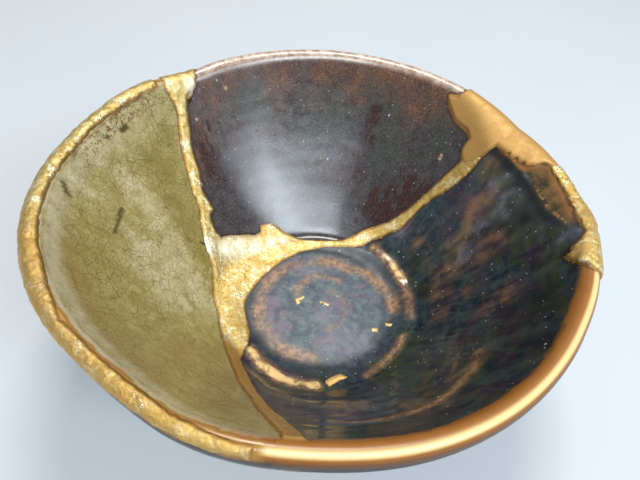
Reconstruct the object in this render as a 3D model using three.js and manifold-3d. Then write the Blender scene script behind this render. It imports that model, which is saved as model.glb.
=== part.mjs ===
// A hand-thrown sake cup that was broken and mended with lacquer and gold.
// Its left third is a sherd of another, crackle-glazed cup. The gold joints run through the whole wall.
// Millimetres and degrees. +Z is up, the foot stands on z = 0, and azimuth 0 is +X and 90 is +Y.
import * as THREE from "three";
import { mergeVertices } from "three/addons/utils/BufferGeometryUtils.js";
import Module from "manifold-3d";

const wasm = await Module();
wasm.setup();

// The bowl
const RIM_RADIUS = 40.5;
const HEIGHT = 38;
const WALL_THICKNESS = 3.8;
const BASE_THICKNESS = 5;
const LIP_WIDTH = 3.4;
const LIP_DROP = 2.2;
const LIP_INNER_ANGLE = 150; // where the rounded lip meets the inside of the wall

// The foot ring, and how far the well and foot sit to the right of the rim's centre and in front of it
const FOOT_HEIGHT = 5;
const FOOT_RING_WIDTH = 2.8;
const FOOT_BEVEL = 0.5;
const FOOT_CLEARANCE = 0.8; // between the foot's outer side and the break round the well
const WELL_OFFSET = { right: 2.4, front: 1.1 };

// The rings that the potter's finger left in the well
const GROOVE_RADIUS = 13.3;
const GROOVE_SPACING = 4.9;
const RING_RELIEF = 0.45;
const RING_CREST = 0.8; // how far inside the groove the inner ring's crest lies, in half spacings
const WELL_RISE = 1.2; // from the well's floor to the foot of the wall

// How far out and up the wall's bend lies, as shares of the way from the well to the lip
const WALL_BEND = { out: 0.625, up: 0.477 };

// The pulled-out lip on the right, where a crease runs parallel to the rim below a flange
const FLARE = { flangeWidth: 6.2, creaseDrop: 4.2, flangeRise: 2.2, reach: 1.5 };
const FLARE_AZIMUTH = 22;
const FLARE_HALF_ANGLE = 34;
const FLARE_FULLNESS = 1.5; // above 1, the flare keeps its full form over part of its angle
const FLANGE_TURN = 0.95; // of half a turn, from the crease over the flange's crown to the rim

// The gold
const JOINT_WIDTH = 2; // the joints' usual width
const GOLD_RELIEF = 0.25; // how far the gold stands above the glaze
const JOINT_CLEARANCE = 0.3; // between the gold and its neighbours
const WEB_DEPTH = 2.2; // of the flake off the well's edge that the web of gold fills
const CHIP_DEPTH = 7; // from the plain rim's height down
const BAND = { width: 2.7, depth: 1.8, bareLip: 1.6 }; // a stretch of bare lip parts it from the near joint

// How finely the forms are divided
const SEGMENTS = 64;
const WALL_STEPS = 11;
const LIP_STEPS = 5;
const SEAM_STEPS = 20;

// Where the rim is out of round: azimuth, half angle, and radius and height added as shares of the rim's radius
const RIM_WOBBLE = [
  [-158, 44, 0.034, 0.004],
  [-104, 24, 0.018, 0],
  [-60, 40, 0.013, 0],
  [-15, 16, 0.009, 0],
  [3, 14, 0.02, 0],
  [66, 36, 0.011, 0],
  [104, 14, -0.007, 0],
  [128, 30, -0.034, 0],
  [136, 12, -0.006, -0.012],
];

// The breaks on the plan, as shares of the rim's radius. A joint's third number is its width over the usual one.
const LONG_JOINT = [
  [-0.78, 0.8, 3.2],
  [-0.684, 0.594, 2.8],
  [-0.672, 0.53, 1.4],
  [-0.631, 0.423, 0.95],
  [-0.562, 0.298, 1.0],
  [-0.491, 0.179, 1.25],
  [-0.398, -0.005, 1.7],
  [-0.353, -0.14, 1.7],
  [-0.282, -0.37, 1.1],
  [-0.21, -0.54, 0.95],
  [-0.138, -0.664, 0.95],
  [-0.063, -0.8, 1.2],
  [-0.013, -0.925, 1.4],
  [0.05, -1.2, 1.6],
];
const BRANCH_JOINT = [
  [-0.1, 0.305, 1.2],
  [0.07, 0.337, 0.6],
  [0.2, 0.366, 1.15],
  [0.334, 0.393, 0.8],
  [0.455, 0.441, 0.8],
  [0.553, 0.474, 1.1],
  [0.65, 0.505, 1.5],
];
const WEB = [
  [-0.5, 0.15],
  [-0.455, 0.195],
  [-0.401, 0.227],
  [-0.297, 0.286],
  [-0.28, 0.335],
  [-0.24, 0.362],
  [-0.1, 0.336],
  [0.03, 0.342],
  [0.0, 0.308],
  [-0.09, 0.268],
  [-0.152, 0.195],
  [-0.225, 0.1],
  [-0.28, 0.0],
  [-0.285, -0.08],
  [-0.24, -0.235],
  [-0.235, -0.33],
  [-0.3, -0.36],
  [-0.4, -0.1],
];
const RIM_FILL = [
  [0.606, 0.54],
  [0.626, 0.57],
  [0.558, 0.676],
  [0.52, 0.745],
  [0.53, 0.768],
  [0.575, 0.745],
  [0.7, 0.92],
  [1.2, 0.8],
  [1.2, 0.33],
  [0.943, 0.323],
  [0.885, 0.35],
  [0.825, 0.38],
  [0.725, 0.488],
  [0.66, 0.47],
];
const RIM_CHIP = [
  [1.2, 0.4],
  [1.2, -0.3],
  [0.94, -0.243],
  [0.898, -0.18],
  [0.895, -0.12],
  [0.957, -0.04],
  [0.953, 0.05],
  [0.955, 0.17],
  [0.911, 0.33],
];

// Sizes that follow from the ones above
const WELL_HEIGHT = FOOT_HEIGHT + BASE_THICKNESS;
const FOOT_RADIUS = GROOVE_RADIUS - FOOT_CLEARANCE;
const WELL_RADIUS = GROOVE_RADIUS + GROOVE_SPACING;
const BEYOND = 1.2; // a cut ends this far out, as a share of the rim's radius
const FULL_TURN = 360;

const { lerp, degToRad, radToDeg, smoothstep, euclideanModulo } = THREE.MathUtils;

// 1 at the centre of a bump, falling smoothly to 0 at its half angle.
function bump(azimuth, centre, halfAngle) {
  const turned = euclideanModulo(azimuth - centre, FULL_TURN);
  const away = Math.min(turned, FULL_TURN - turned);
  return away < halfAngle ? (1 + Math.cos((Math.PI * away) / halfAngle)) / 2 : 0;
}

const flareBump = (azimuth) => bump(azimuth, FLARE_AZIMUTH, FLARE_HALF_ANGLE);
const flareAt = (azimuth) => Math.min(1, FLARE_FULLNESS * flareBump(azimuth));

function rimWobble(azimuth) {
  const added = { radius: FLARE.reach * flareBump(azimuth), height: 0 };
  for (const [centre, halfAngle, radius, height] of RIM_WOBBLE) {
    added.radius += radius * RIM_RADIUS * bump(azimuth, centre, halfAngle);
    added.height += height * RIM_RADIUS * bump(azimuth, centre, halfAngle);
  }
  return added;
}

// How far the middle of a ring of that radius lies from the rim's centre.
function wellShift(radius) {
  const share = 1 - radius / RIM_RADIUS;
  return new THREE.Vector2(WELL_OFFSET.right * share, -WELL_OFFSET.front * share);
}

// The well's floor with its finger rings, as [radius, height] from the middle outwards.
function wellProfile() {
  const halfSpacing = GROOVE_SPACING / 2;
  return [
    [0, WELL_HEIGHT],
    [GROOVE_RADIUS - 2 * halfSpacing, WELL_HEIGHT],
    [GROOVE_RADIUS - RING_CREST * halfSpacing, WELL_HEIGHT + RING_RELIEF],
    [GROOVE_RADIUS, WELL_HEIGHT - RING_RELIEF],
    [GROOVE_RADIUS + halfSpacing, WELL_HEIGHT + 2 * RING_RELIEF],
  ];
}

// The rounded lip from the inside of the wall over its crest to its outer side. At a full flare it is a
// flange instead, which rises from the crease and turns down at the rim.
function lipProfile(flare) {
  const crease = HEIGHT - FLARE.creaseDrop;
  const profile = [];
  for (let i = 0; i <= LIP_STEPS; i++) {
    const share = i / LIP_STEPS;
    const angle = degToRad(lerp(LIP_INNER_ANGLE, 0, share));
    const inset = (LIP_WIDTH / 2) * (1 - Math.cos(angle));
    const round = [RIM_RADIUS - inset, HEIGHT - LIP_DROP * (1 - Math.sin(angle))];
    const rise = FLARE.flangeRise * Math.sin(FLANGE_TURN * Math.PI * share);
    const flange = [RIM_RADIUS - FLARE.flangeWidth * (1 - share) ** 2, crease + rise];
    profile.push(round.map((value, k) => lerp(value, flange[k], flare)));
  }
  return profile;
}

// The inside of the wall is one curve from the well up to the lip.
function innerWall(lipStart) {
  const foot = [WELL_RADIUS, WELL_HEIGHT + WELL_RISE];
  const bend = [lerp(foot[0], lipStart[0], WALL_BEND.out), lerp(foot[1], lipStart[1], WALL_BEND.up)];
  const controls = [foot, bend, lipStart].map((point) => new THREE.Vector2(...point));
  const curve = new THREE.QuadraticBezierCurve(...controls);
  return curve.getPoints(WALL_STEPS).map((point) => [point.x, point.y]);
}

// The outside is the inside moved out by the wall's thickness, from the lip down to the foot.
function outerWall(wall) {
  const outer = [];
  for (let i = WALL_STEPS - 1; i >= 1; i--) {
    const along = new THREE.Vector2(wall[i + 1][0] - wall[i - 1][0], wall[i + 1][1] - wall[i - 1][1]).normalize();
    outer.push([wall[i][0] + along.y * WALL_THICKNESS, wall[i][1] - along.x * WALL_THICKNESS]);
  }
  return outer;
}

// The foot ring with its bevels and the hollow under it, from the outside to the axis.
function footProfile() {
  const inner = FOOT_RADIUS - FOOT_RING_WIDTH;
  return [
    [FOOT_RADIUS, FOOT_HEIGHT],
    [FOOT_RADIUS, FOOT_BEVEL],
    [FOOT_RADIUS - FOOT_BEVEL, 0],
    [inner + FOOT_BEVEL, 0],
    [inner, FOOT_BEVEL],
    [inner - FOOT_BEVEL, FOOT_HEIGHT - FOOT_BEVEL],
    [inner - 3 * FOOT_BEVEL, FOOT_HEIGHT],
    [0, FOOT_HEIGHT],
  ];
}

// The whole section at one azimuth, from the well's middle over the rim to the foot's middle, with its skin
// raised by `relief`.
function section(azimuth, relief) {
  const lip = lipProfile(flareAt(azimuth));
  const wall = innerWall(lip[0]);
  const plain = [...wellProfile(), ...wall.slice(0, -1), ...lip, ...outerWall(wall), ...footProfile()];
  const wobble = rimWobble(azimuth);
  const bent = plain.map(([radius, height]) => {
    const share = smoothstep(radius, WELL_RADIUS, RIM_RADIUS);
    return [radius + share * wobble.radius, height + share * wobble.height];
  });
  return bent.map(([radius, height], i) => {
    const before = bent[Math.max(0, i - 1)];
    const after = bent[Math.min(bent.length - 1, i + 1)];
    const along = new THREE.Vector2(after[0] - before[0], after[1] - before[1]).normalize();
    const out = radius === 0 ? 0 : -along.y * relief;
    return [radius + out, height + along.x * relief];
  });
}

// A closed geometry as a solid that can be cut and joined.
function solidOf(geometry) {
  geometry.deleteAttribute("normal");
  geometry.deleteAttribute("uv");
  const merged = mergeVertices(geometry, 1e-5);
  const mesh = new wasm.Mesh({
    numProp: 3,
    vertProperties: merged.attributes.position.array,
    triVerts: new Uint32Array(merged.index.array),
  });
  return new wasm.Manifold(mesh);
}

// The unbroken cup, with its whole skin raised by `relief`.
function cup(relief) {
  const points = [];
  const triangles = [];
  const ends = section(0, relief);
  const rings = ends.length - 2;
  for (let j = 0; j < SEGMENTS; j++) {
    const azimuth = (FULL_TURN * j) / SEGMENTS;
    for (const [radius, height] of section(azimuth, relief).slice(1, -1)) {
      const middle = wellShift(radius);
      const turn = degToRad(azimuth);
      points.push([middle.x + radius * Math.cos(turn), middle.y + radius * Math.sin(turn), height]);
    }
  }
  const axis = wellShift(0);
  const top = points.push([axis.x, axis.y, ends[0][1]]) - 1;
  const bottom = points.push([axis.x, axis.y, ends[rings + 1][1]]) - 1;
  for (let j = 0; j < SEGMENTS; j++) {
    const here = j * rings;
    const next = ((j + 1) % SEGMENTS) * rings;
    triangles.push([top, here, next], [bottom, next + rings - 1, here + rings - 1]);
    for (let i = 0; i < rings - 1; i++) {
      triangles.push([here + i, here + i + 1, next + i + 1], [here + i, next + i + 1, next + i]);
    }
  }
  const geometry = new THREE.BufferGeometry();
  geometry.setAttribute("position", new THREE.Float32BufferAttribute(points.flat(), 3));
  geometry.setIndex(triangles.flat());
  return solidOf(geometry);
}

const onPlan = ([x, y]) => new THREE.Vector2(x * RIM_RADIUS, y * RIM_RADIUS);

// An upright prism on an outline. It cuts right through the cup unless a lower end is given.
function prism(outline, low = -HEIGHT) {
  const depth = 2 * HEIGHT - low;
  const geometry = new THREE.ExtrudeGeometry(new THREE.Shape(outline), { depth, bevelEnabled: false });
  return solidOf(geometry.translate(0, 0, low));
}

// A joint of varying width along a smooth line, with `gap` added at both sides. It keeps off the well.
function joint(stations, gap) {
  const middle = wellShift(GROOVE_RADIUS);
  const line = new THREE.SplineCurve(stations.map(onPlan));
  const left = [];
  const right = [];
  for (let i = 0; i <= SEAM_STEPS; i++) {
    const at = (i / SEAM_STEPS) * (stations.length - 1);
    const first = Math.min(Math.floor(at), stations.length - 2);
    const halfWidth = (lerp(stations[first][2], stations[first + 1][2], at - first) * JOINT_WIDTH) / 2;
    const fromWell = line.getPoint(i / SEAM_STEPS).sub(middle);
    const point = fromWell.clampLength(GROOVE_RADIUS + halfWidth, 2 * BEYOND * RIM_RADIUS).add(middle);
    const along = line.getTangent(i / SEAM_STEPS);
    const aside = new THREE.Vector2(-along.y, along.x).multiplyScalar(halfWidth + gap);
    left.push(point.clone().add(aside));
    right.unshift(point.clone().sub(aside));
  }
  return prism([...left, ...right]);
}

// A patch on a closed outline, with `gap` added all round.
function patch(corners, gap, low) {
  const outline = corners.map(onPlan);
  const turning = THREE.ShapeUtils.isClockWise(outline) ? -1 : 1;
  const moved = outline.map((point, i) => {
    const before = outline[(i + outline.length - 1) % outline.length];
    const after = outline[(i + 1) % outline.length];
    const along = after.clone().sub(before).normalize().multiplyScalar(turning * gap);
    return new THREE.Vector2(point.x + along.y, point.y - along.x);
  });
  return prism(moved, low);
}

// Below the flake that the web of gold fills, the break turns round the well, so the foot stays whole.
function footCore(gap) {
  const middle = wellShift(GROOVE_RADIUS);
  const radius = GROOVE_RADIUS - gap;
  const depth = 2 * HEIGHT;
  const geometry = new THREE.CylinderGeometry(radius, radius, depth, SEGMENTS).rotateX(Math.PI / 2);
  const top = WELL_HEIGHT - WEB_DEPTH - gap;
  return solidOf(geometry.translate(middle.x, middle.y, top - depth / 2));
}

function jointNetwork(gap) {
  return joint(LONG_JOINT, gap).add(joint(BRANCH_JOINT, gap)).add(patch(WEB, gap).subtract(footCore(gap)));
}

// The part of the left rim that the gold band stands for, from the far joint to a little before the near one.
function bandSector(gap) {
  const [farX, farY] = LONG_JOINT.at(1);
  const [nearX, nearY, nearWidth] = LONG_JOINT.at(-2);
  const start = radToDeg(Math.atan2(farY, farX));
  const bare = (nearWidth * JOINT_WIDTH) / 2 + BAND.bareLip;
  const end = FULL_TURN + radToDeg(Math.atan2(nearY, nearX) - (bare - gap) / RIM_RADIUS);
  const inside = [];
  const outside = [];
  for (let i = 0; i <= SEGMENTS; i++) {
    const azimuth = lerp(start, end, i / SEGMENTS);
    const ray = new THREE.Vector2(Math.cos(degToRad(azimuth)), Math.sin(degToRad(azimuth)));
    inside.push(ray.clone().multiplyScalar(RIM_RADIUS + rimWobble(azimuth).radius - BAND.width - gap));
    outside.unshift(ray.clone().multiplyScalar(RIM_RADIUS * BEYOND));
  }
  return prism([...inside, ...outside], HEIGHT - BAND.depth - gap);
}

const chip = (gap) => patch(RIM_CHIP, gap, HEIGHT - CHIP_DEPTH - gap);

const GLOSSY_BLACK = { color: 0x1d1c1f, roughness: 0.25, metalness: 0 };
const IRON_BROWN = { color: 0x33231f, roughness: 0.3, metalness: 0 };
const OLIVE_CRACKLE = { color: 0x8a7a3c, roughness: 0.4, metalness: 0 };
const GOLD_LEAF = { color: 0xd9ae52, roughness: 0.35, metalness: 1 };
const GOLD_POWDER = { color: 0xd49b4b, roughness: 0.5, metalness: 0.8 };

function piece(name, solid, look) {
  const mesh = solid.getMesh();
  const positions = new Float32Array(mesh.numVert * 3);
  for (let i = 0; i < mesh.numVert; i++) {
    positions.set(mesh.vertProperties.subarray(i * mesh.numProp, i * mesh.numProp + 3), i * 3);
  }
  const geometry = new THREE.BufferGeometry();
  geometry.setAttribute("position", new THREE.BufferAttribute(positions, 3));
  geometry.setIndex(new THREE.BufferAttribute(new Uint32Array(mesh.triVerts), 1));
  geometry.computeVertexNormals();
  const made = new THREE.Mesh(geometry, new THREE.MeshStandardMaterial(look));
  made.name = name;
  return made;
}

function goldPieces() {
  const skin = cup(GOLD_RELIEF);
  const gap = JOINT_CLEARANCE;
  const clearOfJoint = jointNetwork(gap);
  return [
    piece("gold_joint", skin.intersect(jointNetwork(0)), GOLD_LEAF),
    piece("gold_rim_fill", skin.intersect(patch(RIM_FILL, 0).subtract(clearOfJoint)), GOLD_POWDER),
    piece("gold_rim_chip", skin.intersect(chip(0).subtract(patch(RIM_FILL, gap))), GOLD_LEAF),
    piece("gold_rim_band", skin.intersect(bandSector(0).subtract(clearOfJoint)), GOLD_LEAF),
  ];
}

// What the gold leaves of the cup falls into three sherds, each known by a point of the plan in its middle.
function sherdPieces() {
  const gap = JOINT_CLEARANCE;
  const mended = jointNetwork(gap).add(patch(RIM_FILL, gap)).add(chip(gap)).add(bandSector(gap));
  const sherds = cup(0).subtract(mended).decompose();
  const nearest = (place) => {
    const away = (sherd) => {
      const { min, max } = sherd.boundingBox();
      return onPlan(place).distanceTo(new THREE.Vector2((min[0] + max[0]) / 2, (min[1] + max[1]) / 2));
    };
    return sherds.reduce((a, b) => (away(a) < away(b) ? a : b));
  };
  return [
    piece("tenmoku_sherd_with_foot", nearest([0.35, -0.3]), GLOSSY_BLACK),
    piece("iron_glaze_sherd", nearest([0, 0.6]), IRON_BROWN),
    piece("crackle_glaze_sherd", nearest([-0.55, -0.2]), OLIVE_CRACKLE),
  ];
}

// The origin is under the middle of the whole cup, on the surface that it stands on.
const group = new THREE.Group();
group.add(...sherdPieces(), ...goldPieces());
const bounds = new THREE.Box3().setFromObject(group);
const centre = bounds.getCenter(new THREE.Vector3());
group.position.set(-centre.x, -centre.y, -bounds.min.z);

export default group;
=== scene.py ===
import math

import bpy
import numpy as np
from mathutils import Matrix, Vector


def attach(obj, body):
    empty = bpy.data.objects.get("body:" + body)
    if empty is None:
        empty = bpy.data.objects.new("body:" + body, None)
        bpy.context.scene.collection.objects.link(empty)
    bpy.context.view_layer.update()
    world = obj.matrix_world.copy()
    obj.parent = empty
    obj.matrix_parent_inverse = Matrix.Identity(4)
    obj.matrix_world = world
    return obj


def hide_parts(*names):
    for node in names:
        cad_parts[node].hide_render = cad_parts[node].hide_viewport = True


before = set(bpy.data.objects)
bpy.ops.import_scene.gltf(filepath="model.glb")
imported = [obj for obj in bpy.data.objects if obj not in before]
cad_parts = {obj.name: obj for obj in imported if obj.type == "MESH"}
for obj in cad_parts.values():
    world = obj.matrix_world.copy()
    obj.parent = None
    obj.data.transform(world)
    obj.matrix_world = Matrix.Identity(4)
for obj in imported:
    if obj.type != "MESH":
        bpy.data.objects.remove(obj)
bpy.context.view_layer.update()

# All sizes below are millimetres and degrees in the cup's own frame, whose origin is under the middle of the
# rim, on the surface that the cup stands on. They repeat the values of the CAD source.
MM = 0.001
RIM_RADIUS = 40.5
HEIGHT = 38
WALL_THICKNESS = 3.8
LIP_WIDTH = 3.4
LIP_DROP = 2.2
LIP_INNER_ANGLE = 150
FOOT_HEIGHT = 5
FOOT_RING_WIDTH = 2.8
FOOT_BEVEL = 0.5
WELL_OFFSET = (2.4, -1.1)
GROOVE_RADIUS = 13.3
GROOVE_SPACING = 4.9
RING_RELIEF = 0.45
WELL_RISE = 1.2
WALL_BEND = (0.625, 0.477)
FLARE_AZIMUTH = 22
FLARE_HALF_ANGLE = 34
FLARE_FULLNESS = 1.5
FLANGE_WIDTH = 6.2
CREASE_DROP = 4.2
FLANGE_RISE = 2.2
FLANGE_TURN = 0.95
FLARE_REACH = 1.5
JOINT_WIDTH = 2
WEB_DEPTH = 2.2
CHIP_DEPTH = 7
BAND_DEPTH = 1.8
NEAR_BAND_DEPTH = 1.15
WELL_HEIGHT = 10
FOOT_RADIUS = 12.5
WELL_RADIUS = GROOVE_RADIUS + GROOVE_SPACING
# Each swelling of the rim: azimuth, half angle, and how far out and up in shares of the rim's radius
RIM_WOBBLE = [
    (-158, 44, 0.034, 0.004), (-104, 24, 0.018, 0), (-60, 40, 0.013, 0), (-15, 16, 0.009, 0),
    (3, 14, 0.02, 0), (66, 36, 0.011, 0), (104, 14, -0.007, 0), (128, 30, -0.034, 0),
    (136, 12, -0.006, -0.012),
]
# The breaks, as corners on the plan in shares of the rim's radius. The joints also have their width there,
# as a multiple of the usual one.
LONG_JOINT = [
    (-0.78, 0.8, 3.2), (-0.684, 0.594, 2.8), (-0.672, 0.53, 1.4), (-0.631, 0.423, 0.95),
    (-0.562, 0.298, 1.0), (-0.491, 0.179, 1.25), (-0.398, -0.005, 1.7), (-0.353, -0.14, 1.7),
    (-0.282, -0.37, 1.1), (-0.21, -0.54, 0.95), (-0.138, -0.664, 0.95), (-0.063, -0.8, 1.2),
    (-0.013, -0.925, 1.4), (0.05, -1.2, 1.6),
]
BRANCH_JOINT = [
    (-0.1, 0.305, 1.2), (0.07, 0.337, 0.6), (0.2, 0.366, 1.15), (0.334, 0.393, 0.8), (0.455, 0.441, 0.8),
    (0.553, 0.474, 1.1), (0.65, 0.505, 1.5),
]
WEB = [
    (-0.5, 0.15), (-0.455, 0.195), (-0.401, 0.227), (-0.297, 0.286), (-0.28, 0.335), (-0.24, 0.362),
    (-0.1, 0.336), (0.03, 0.342), (0.0, 0.308), (-0.09, 0.268), (-0.152, 0.195), (-0.225, 0.1),
    (-0.28, 0.0), (-0.285, -0.08), (-0.24, -0.235), (-0.235, -0.33), (-0.3, -0.36), (-0.4, -0.1),
]
RIM_FILL = [
    (0.606, 0.54), (0.626, 0.57), (0.558, 0.676), (0.52, 0.745), (0.53, 0.768), (0.575, 0.745), (0.7, 0.92),
    (1.2, 0.8), (1.2, 0.33), (0.943, 0.323), (0.885, 0.35), (0.825, 0.38), (0.725, 0.488), (0.66, 0.47),
]
RIM_CHIP = [
    (1.2, 0.4), (1.2, -0.3), (0.94, -0.243), (0.898, -0.18), (0.895, -0.12), (0.957, -0.04),
    (0.953, 0.05), (0.955, 0.17), (0.911, 0.33),
]

# From here on, what the CAD source leaves to this script.

# The back wall starts further in and lower: azimuth and half angle, and both shifts
BACK_WALL_PLACE = (108, 80)
BACK_WALL_SHIFT = (2.3, 1.0)
# Stretches of the rim, as azimuth and half angle: where the gold band ends lower, where the joint runs under
# the lip's glaze, and where the crackle glaze has a pale line and a row of specks along the band
LOW_BAND_PLACE = (-98, 50)
NEAR_SEAM_PLACE = (-90, 30)
PALE_LINE_PLACE = (-142, 62)
SPECKLED_PLACE = (162, 24)
WELL_FLAT_RADIUS = 10
SOFTENED_CORNER = 1.2

# The gold as it lies on the glaze, as corners on the plan in shares of the rim's radius. The joint network's
# outline goes round all three arms, the others have an inner edge and are closed beyond the rim.
GOLD_NET = [
    (-1.1, 0.82), (-0.743, 0.553), (-0.722, 0.523), (-0.697, 0.512), (-0.68, 0.5), (-0.67, 0.471),
    (-0.659, 0.43), (-0.648, 0.404), (-0.63, 0.369), (-0.605, 0.326), (-0.579, 0.285), (-0.552, 0.257),
    (-0.533, 0.207), (-0.517, 0.162), (-0.5, 0.125), (-0.48, 0.093), (-0.451, 0.038), (-0.426, -0.081),
    (-0.394, -0.149), (-0.368, -0.226), (-0.339, -0.306), (-0.313, -0.362), (-0.275, -0.44),
    (-0.234, -0.529), (-0.199, -0.599), (-0.168, -0.639), (-0.131, -0.712), (-0.101, -0.764),
    (-0.076, -0.81), (-0.035, -0.903), (0.0, -1.2), (0.09, -1.2), (0.023, -0.881), (-0.027, -0.776),
    (-0.089, -0.688), (-0.152, -0.585), (-0.213, -0.458), (-0.249, -0.382), (-0.24, -0.323),
    (-0.232, -0.296), (-0.236, -0.234), (-0.271, -0.132), (-0.285, -0.081), (-0.284, -0.042),
    (-0.26, 0.033), (-0.22, 0.112), (-0.154, 0.199), (-0.077, 0.27), (0.043, 0.319), (0.139, 0.33),
    (0.2, 0.334), (0.282, 0.363), (0.394, 0.381), (0.46, 0.427), (0.507, 0.445), (0.59, 0.452),
    (0.648, 0.466), (0.7, 0.5), (0.65, 0.56), (0.611, 0.53), (0.552, 0.508), (0.479, 0.477),
    (0.399, 0.438), (0.334, 0.418), (0.232, 0.407), (0.146, 0.374), (0.102, 0.365), (0.039, 0.351),
    (-0.087, 0.343), (-0.174, 0.354), (-0.22, 0.367), (-0.244, 0.362), (-0.265, 0.346), (-0.28, 0.333),
    (-0.277, 0.308), (-0.296, 0.288), (-0.404, 0.231), (-0.442, 0.195), (-0.453, 0.203), (-0.471, 0.207),
    (-0.486, 0.227), (-0.501, 0.256), (-0.494, 0.286), (-0.52, 0.306), (-0.552, 0.324), (-0.552, 0.345),
    (-0.572, 0.381), (-0.59, 0.405), (-0.612, 0.438), (-0.621, 0.472), (-0.634, 0.503), (-0.643, 0.531),
    (-0.65, 0.56), (-0.63, 0.591), (-0.619, 0.623), (-0.64, 0.69), (-1.0, 1.07),
]
GOLD_FILL = [
    (0.72, 0.93), (0.589, 0.754), (0.565, 0.743), (0.524, 0.762), (0.522, 0.747), (0.54, 0.715),
    (0.56, 0.68), (0.593, 0.642), (0.614, 0.619), (0.63, 0.584), (0.612, 0.573), (0.606, 0.55),
    (0.62, 0.505), (0.66, 0.491), (0.694, 0.49), (0.73, 0.503), (0.756, 0.469), (0.787, 0.423),
    (0.839, 0.373), (0.886, 0.359), (0.948, 0.334), (1.25, 0.44), (1.25, 0.9),
]
GOLD_CHIP = [
    (1.3, 0.47), (0.914, 0.342), (0.934, 0.277), (0.959, 0.178), (0.96, 0.083), (0.959, -0.051),
    (0.924, -0.095), (0.911, -0.101), (0.909, -0.126), (0.893, -0.124), (0.907, -0.197), (0.941, -0.246),
    (1.3, -0.34),
]
GOLD_BAND = [
    (-0.758, 0.516), (-0.797, 0.457), (-0.836, 0.39), (-0.883, 0.283), (-0.913, 0.196), (-0.932, 0.093),
    (-0.944, 0.002), (-0.952, -0.091), (-0.941, -0.205), (-0.921, -0.304), (-0.879, -0.404),
    (-0.803, -0.532), (-0.746, -0.615), (-0.698, -0.681), (-0.64, -0.719), (-0.586, -0.759),
    (-0.513, -0.808), (-0.449, -0.844), (-0.401, -0.867), (-0.35, -0.9), (-0.295, -0.926),
    (-0.237, -0.944), (-0.186, -0.962), (-0.132, -0.972), (-0.098, -0.974), (-0.15, -1.5), (-1.1, -1.1),
    (-1.5, 0), (-1.1, 0.9),
]
GOLD_FLECKS = [
    [(0.099, -0.423), (0.122, -0.4), (0.158, -0.378), (0.189, -0.392), (0.158, -0.409), (0.117, -0.449)],
    [(-0.068, -0.02), (-0.055, -0.008), (-0.042, -0.035), (-0.056, -0.045)],
    [(-0.05, -0.012), (-0.03, 0.006), (-0.024, -0.004), (-0.04, -0.018)],
    [(0.045, -0.012), (0.09, -0.024), (0.086, -0.034), (0.05, -0.024)],
    [(0.285, -0.125), (0.312, -0.122), (0.314, -0.14), (0.288, -0.143)],
    [(0.345, -0.09), (0.376, -0.092), (0.37, -0.106), (0.35, -0.103)],
]
# Places where the gold has worn away: a place on the plan and a radius in millimetres
GOLD_PITS = [
    (0.895, 0.352, 0.7), (0.91, 0.32, 0.4), (0.775, 0.447, 0.22),
    (0.8, 0.414, 0.26), (0.826, 0.386, 0.2), (0.925, 0.27, 0.35), (0.955, 0.1, 0.3),
]
# Places where the leaf is painted near-white: a painted highlight along the web, and a silvery tone at the
# top of the long joint: as above
SILVER_AND_HIGHLIGHT_PATCHES = [
    (-0.64, 0.6, 1.1), (-0.42, 0.16, 1.6), (-0.5, 0.13, 1.2),
    (-0.37, 0.2, 1.5), (-0.3, 0.235, 1.5), (-0.22, 0.285, 1.2), (-0.16, 0.31, 0.9),
]

# Raised arcs of the throwing where the glaze breaks amber, as azimuths and section radii, each with its half
# width in millimetres, its height and the strength of its colour
THROWN_ARCS = [
    (
        [
            (-92, 11.6), (-114, 11.9), (-140, 11.6), (-167, 11.0), (-190, 10.6), (-215, 10.2), (-240, 9.8),
            (-270, 9.8), (-296, 9.8), (-311, 11.2), (-325, 12.2), (-345, 13.4), (-358, 13.9),
        ],
        1.2, 0.0, 0.85,
    ),
    ([(54, 17.2), (42, 17.1), (31, 16.9), (23, 16.8)], 0.9, 0.12, 1.3),
    ([(30, 16.8), (20, 16.7), (8, 16.8), (-6, 17.0)], 0.8, 0.1, 0.6),
    ([(-20, 16.8), (-35, 16.9), (-57, 17.5)], 0.6, 0.14, 0.75),
    ([(-87, 17.7), (-103, 17.7), (-118, 16.9), (-131, 16.4)], 1.1, 0.42, 1.5),
    ([(-127, 19.6), (-104, 22.3), (-85, 24.2), (-70, 24.6)], 0.9, 0.1, 0.3),
    ([(-82, 30.6), (-71, 31.3), (-61, 31.8), (-55, 31.7), (-43, 30.8), (-33, 29.7)], 0.55, 0.05, 0.75),
    ([(160, 5.0), (140, 5.4), (100, 6.3), (61, 6.4)], 0.7, 0.04, 0.6),
    ([(70, 3.2), (35, 3.8), (5, 4.4), (-40, 5.2), (-75, 6.0)], 0.6, 0.04, 0.3),
]
# Clouds in the glazes: a place on the plan and a radius in millimetres
TENMOKU_RUST = [
    (0.716, 0.447, 1.2), (0.72, 0.342, 1.7), (0.69, 0.31, 1.5), (0.667, 0.284, 1.7), (0.64, 0.245, 1.5),
    (0.618, 0.21, 1.3), (0.73, 0.15, 1.2), (0.76, 0.12, 1.0), (0.6, 0.11, 1.6), (0.55, 0.02, 1.8),
    (0.66, -0.04, 0.9), (0.7, 0.08, 0.8), (0.42, 0.4, 1.4), (0.47, 0.3, 1.1), (0.735, -0.168, 1.8),
    (0.181, -0.644, 2.4), (0.38, -0.66, 2.0), (0.56, -0.09, 1.4),
]
# The tenmoku's pale bluish clouds are painted sheen: reflections on the glossy glaze laid into its colour.
TENMOKU_PAINTED_SHEEN = [
    (0.758, 0.36, 1.0), (0.775, 0.27, 1.0), (0.779, 0.217, 1.1), (0.64, 0.15, 1.2), (0.7, 0.24, 1.1),
    (0.15, -0.234, 3.2), (0.22, -0.2, 2.4), (0.0, 0.16, 2.2), (0.1, -0.1, 2.6), (0.93, -0.057, 1.0),
    (0.84, 0.33, 1.1), (0.4, 0.36, 1.4),
]
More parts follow.
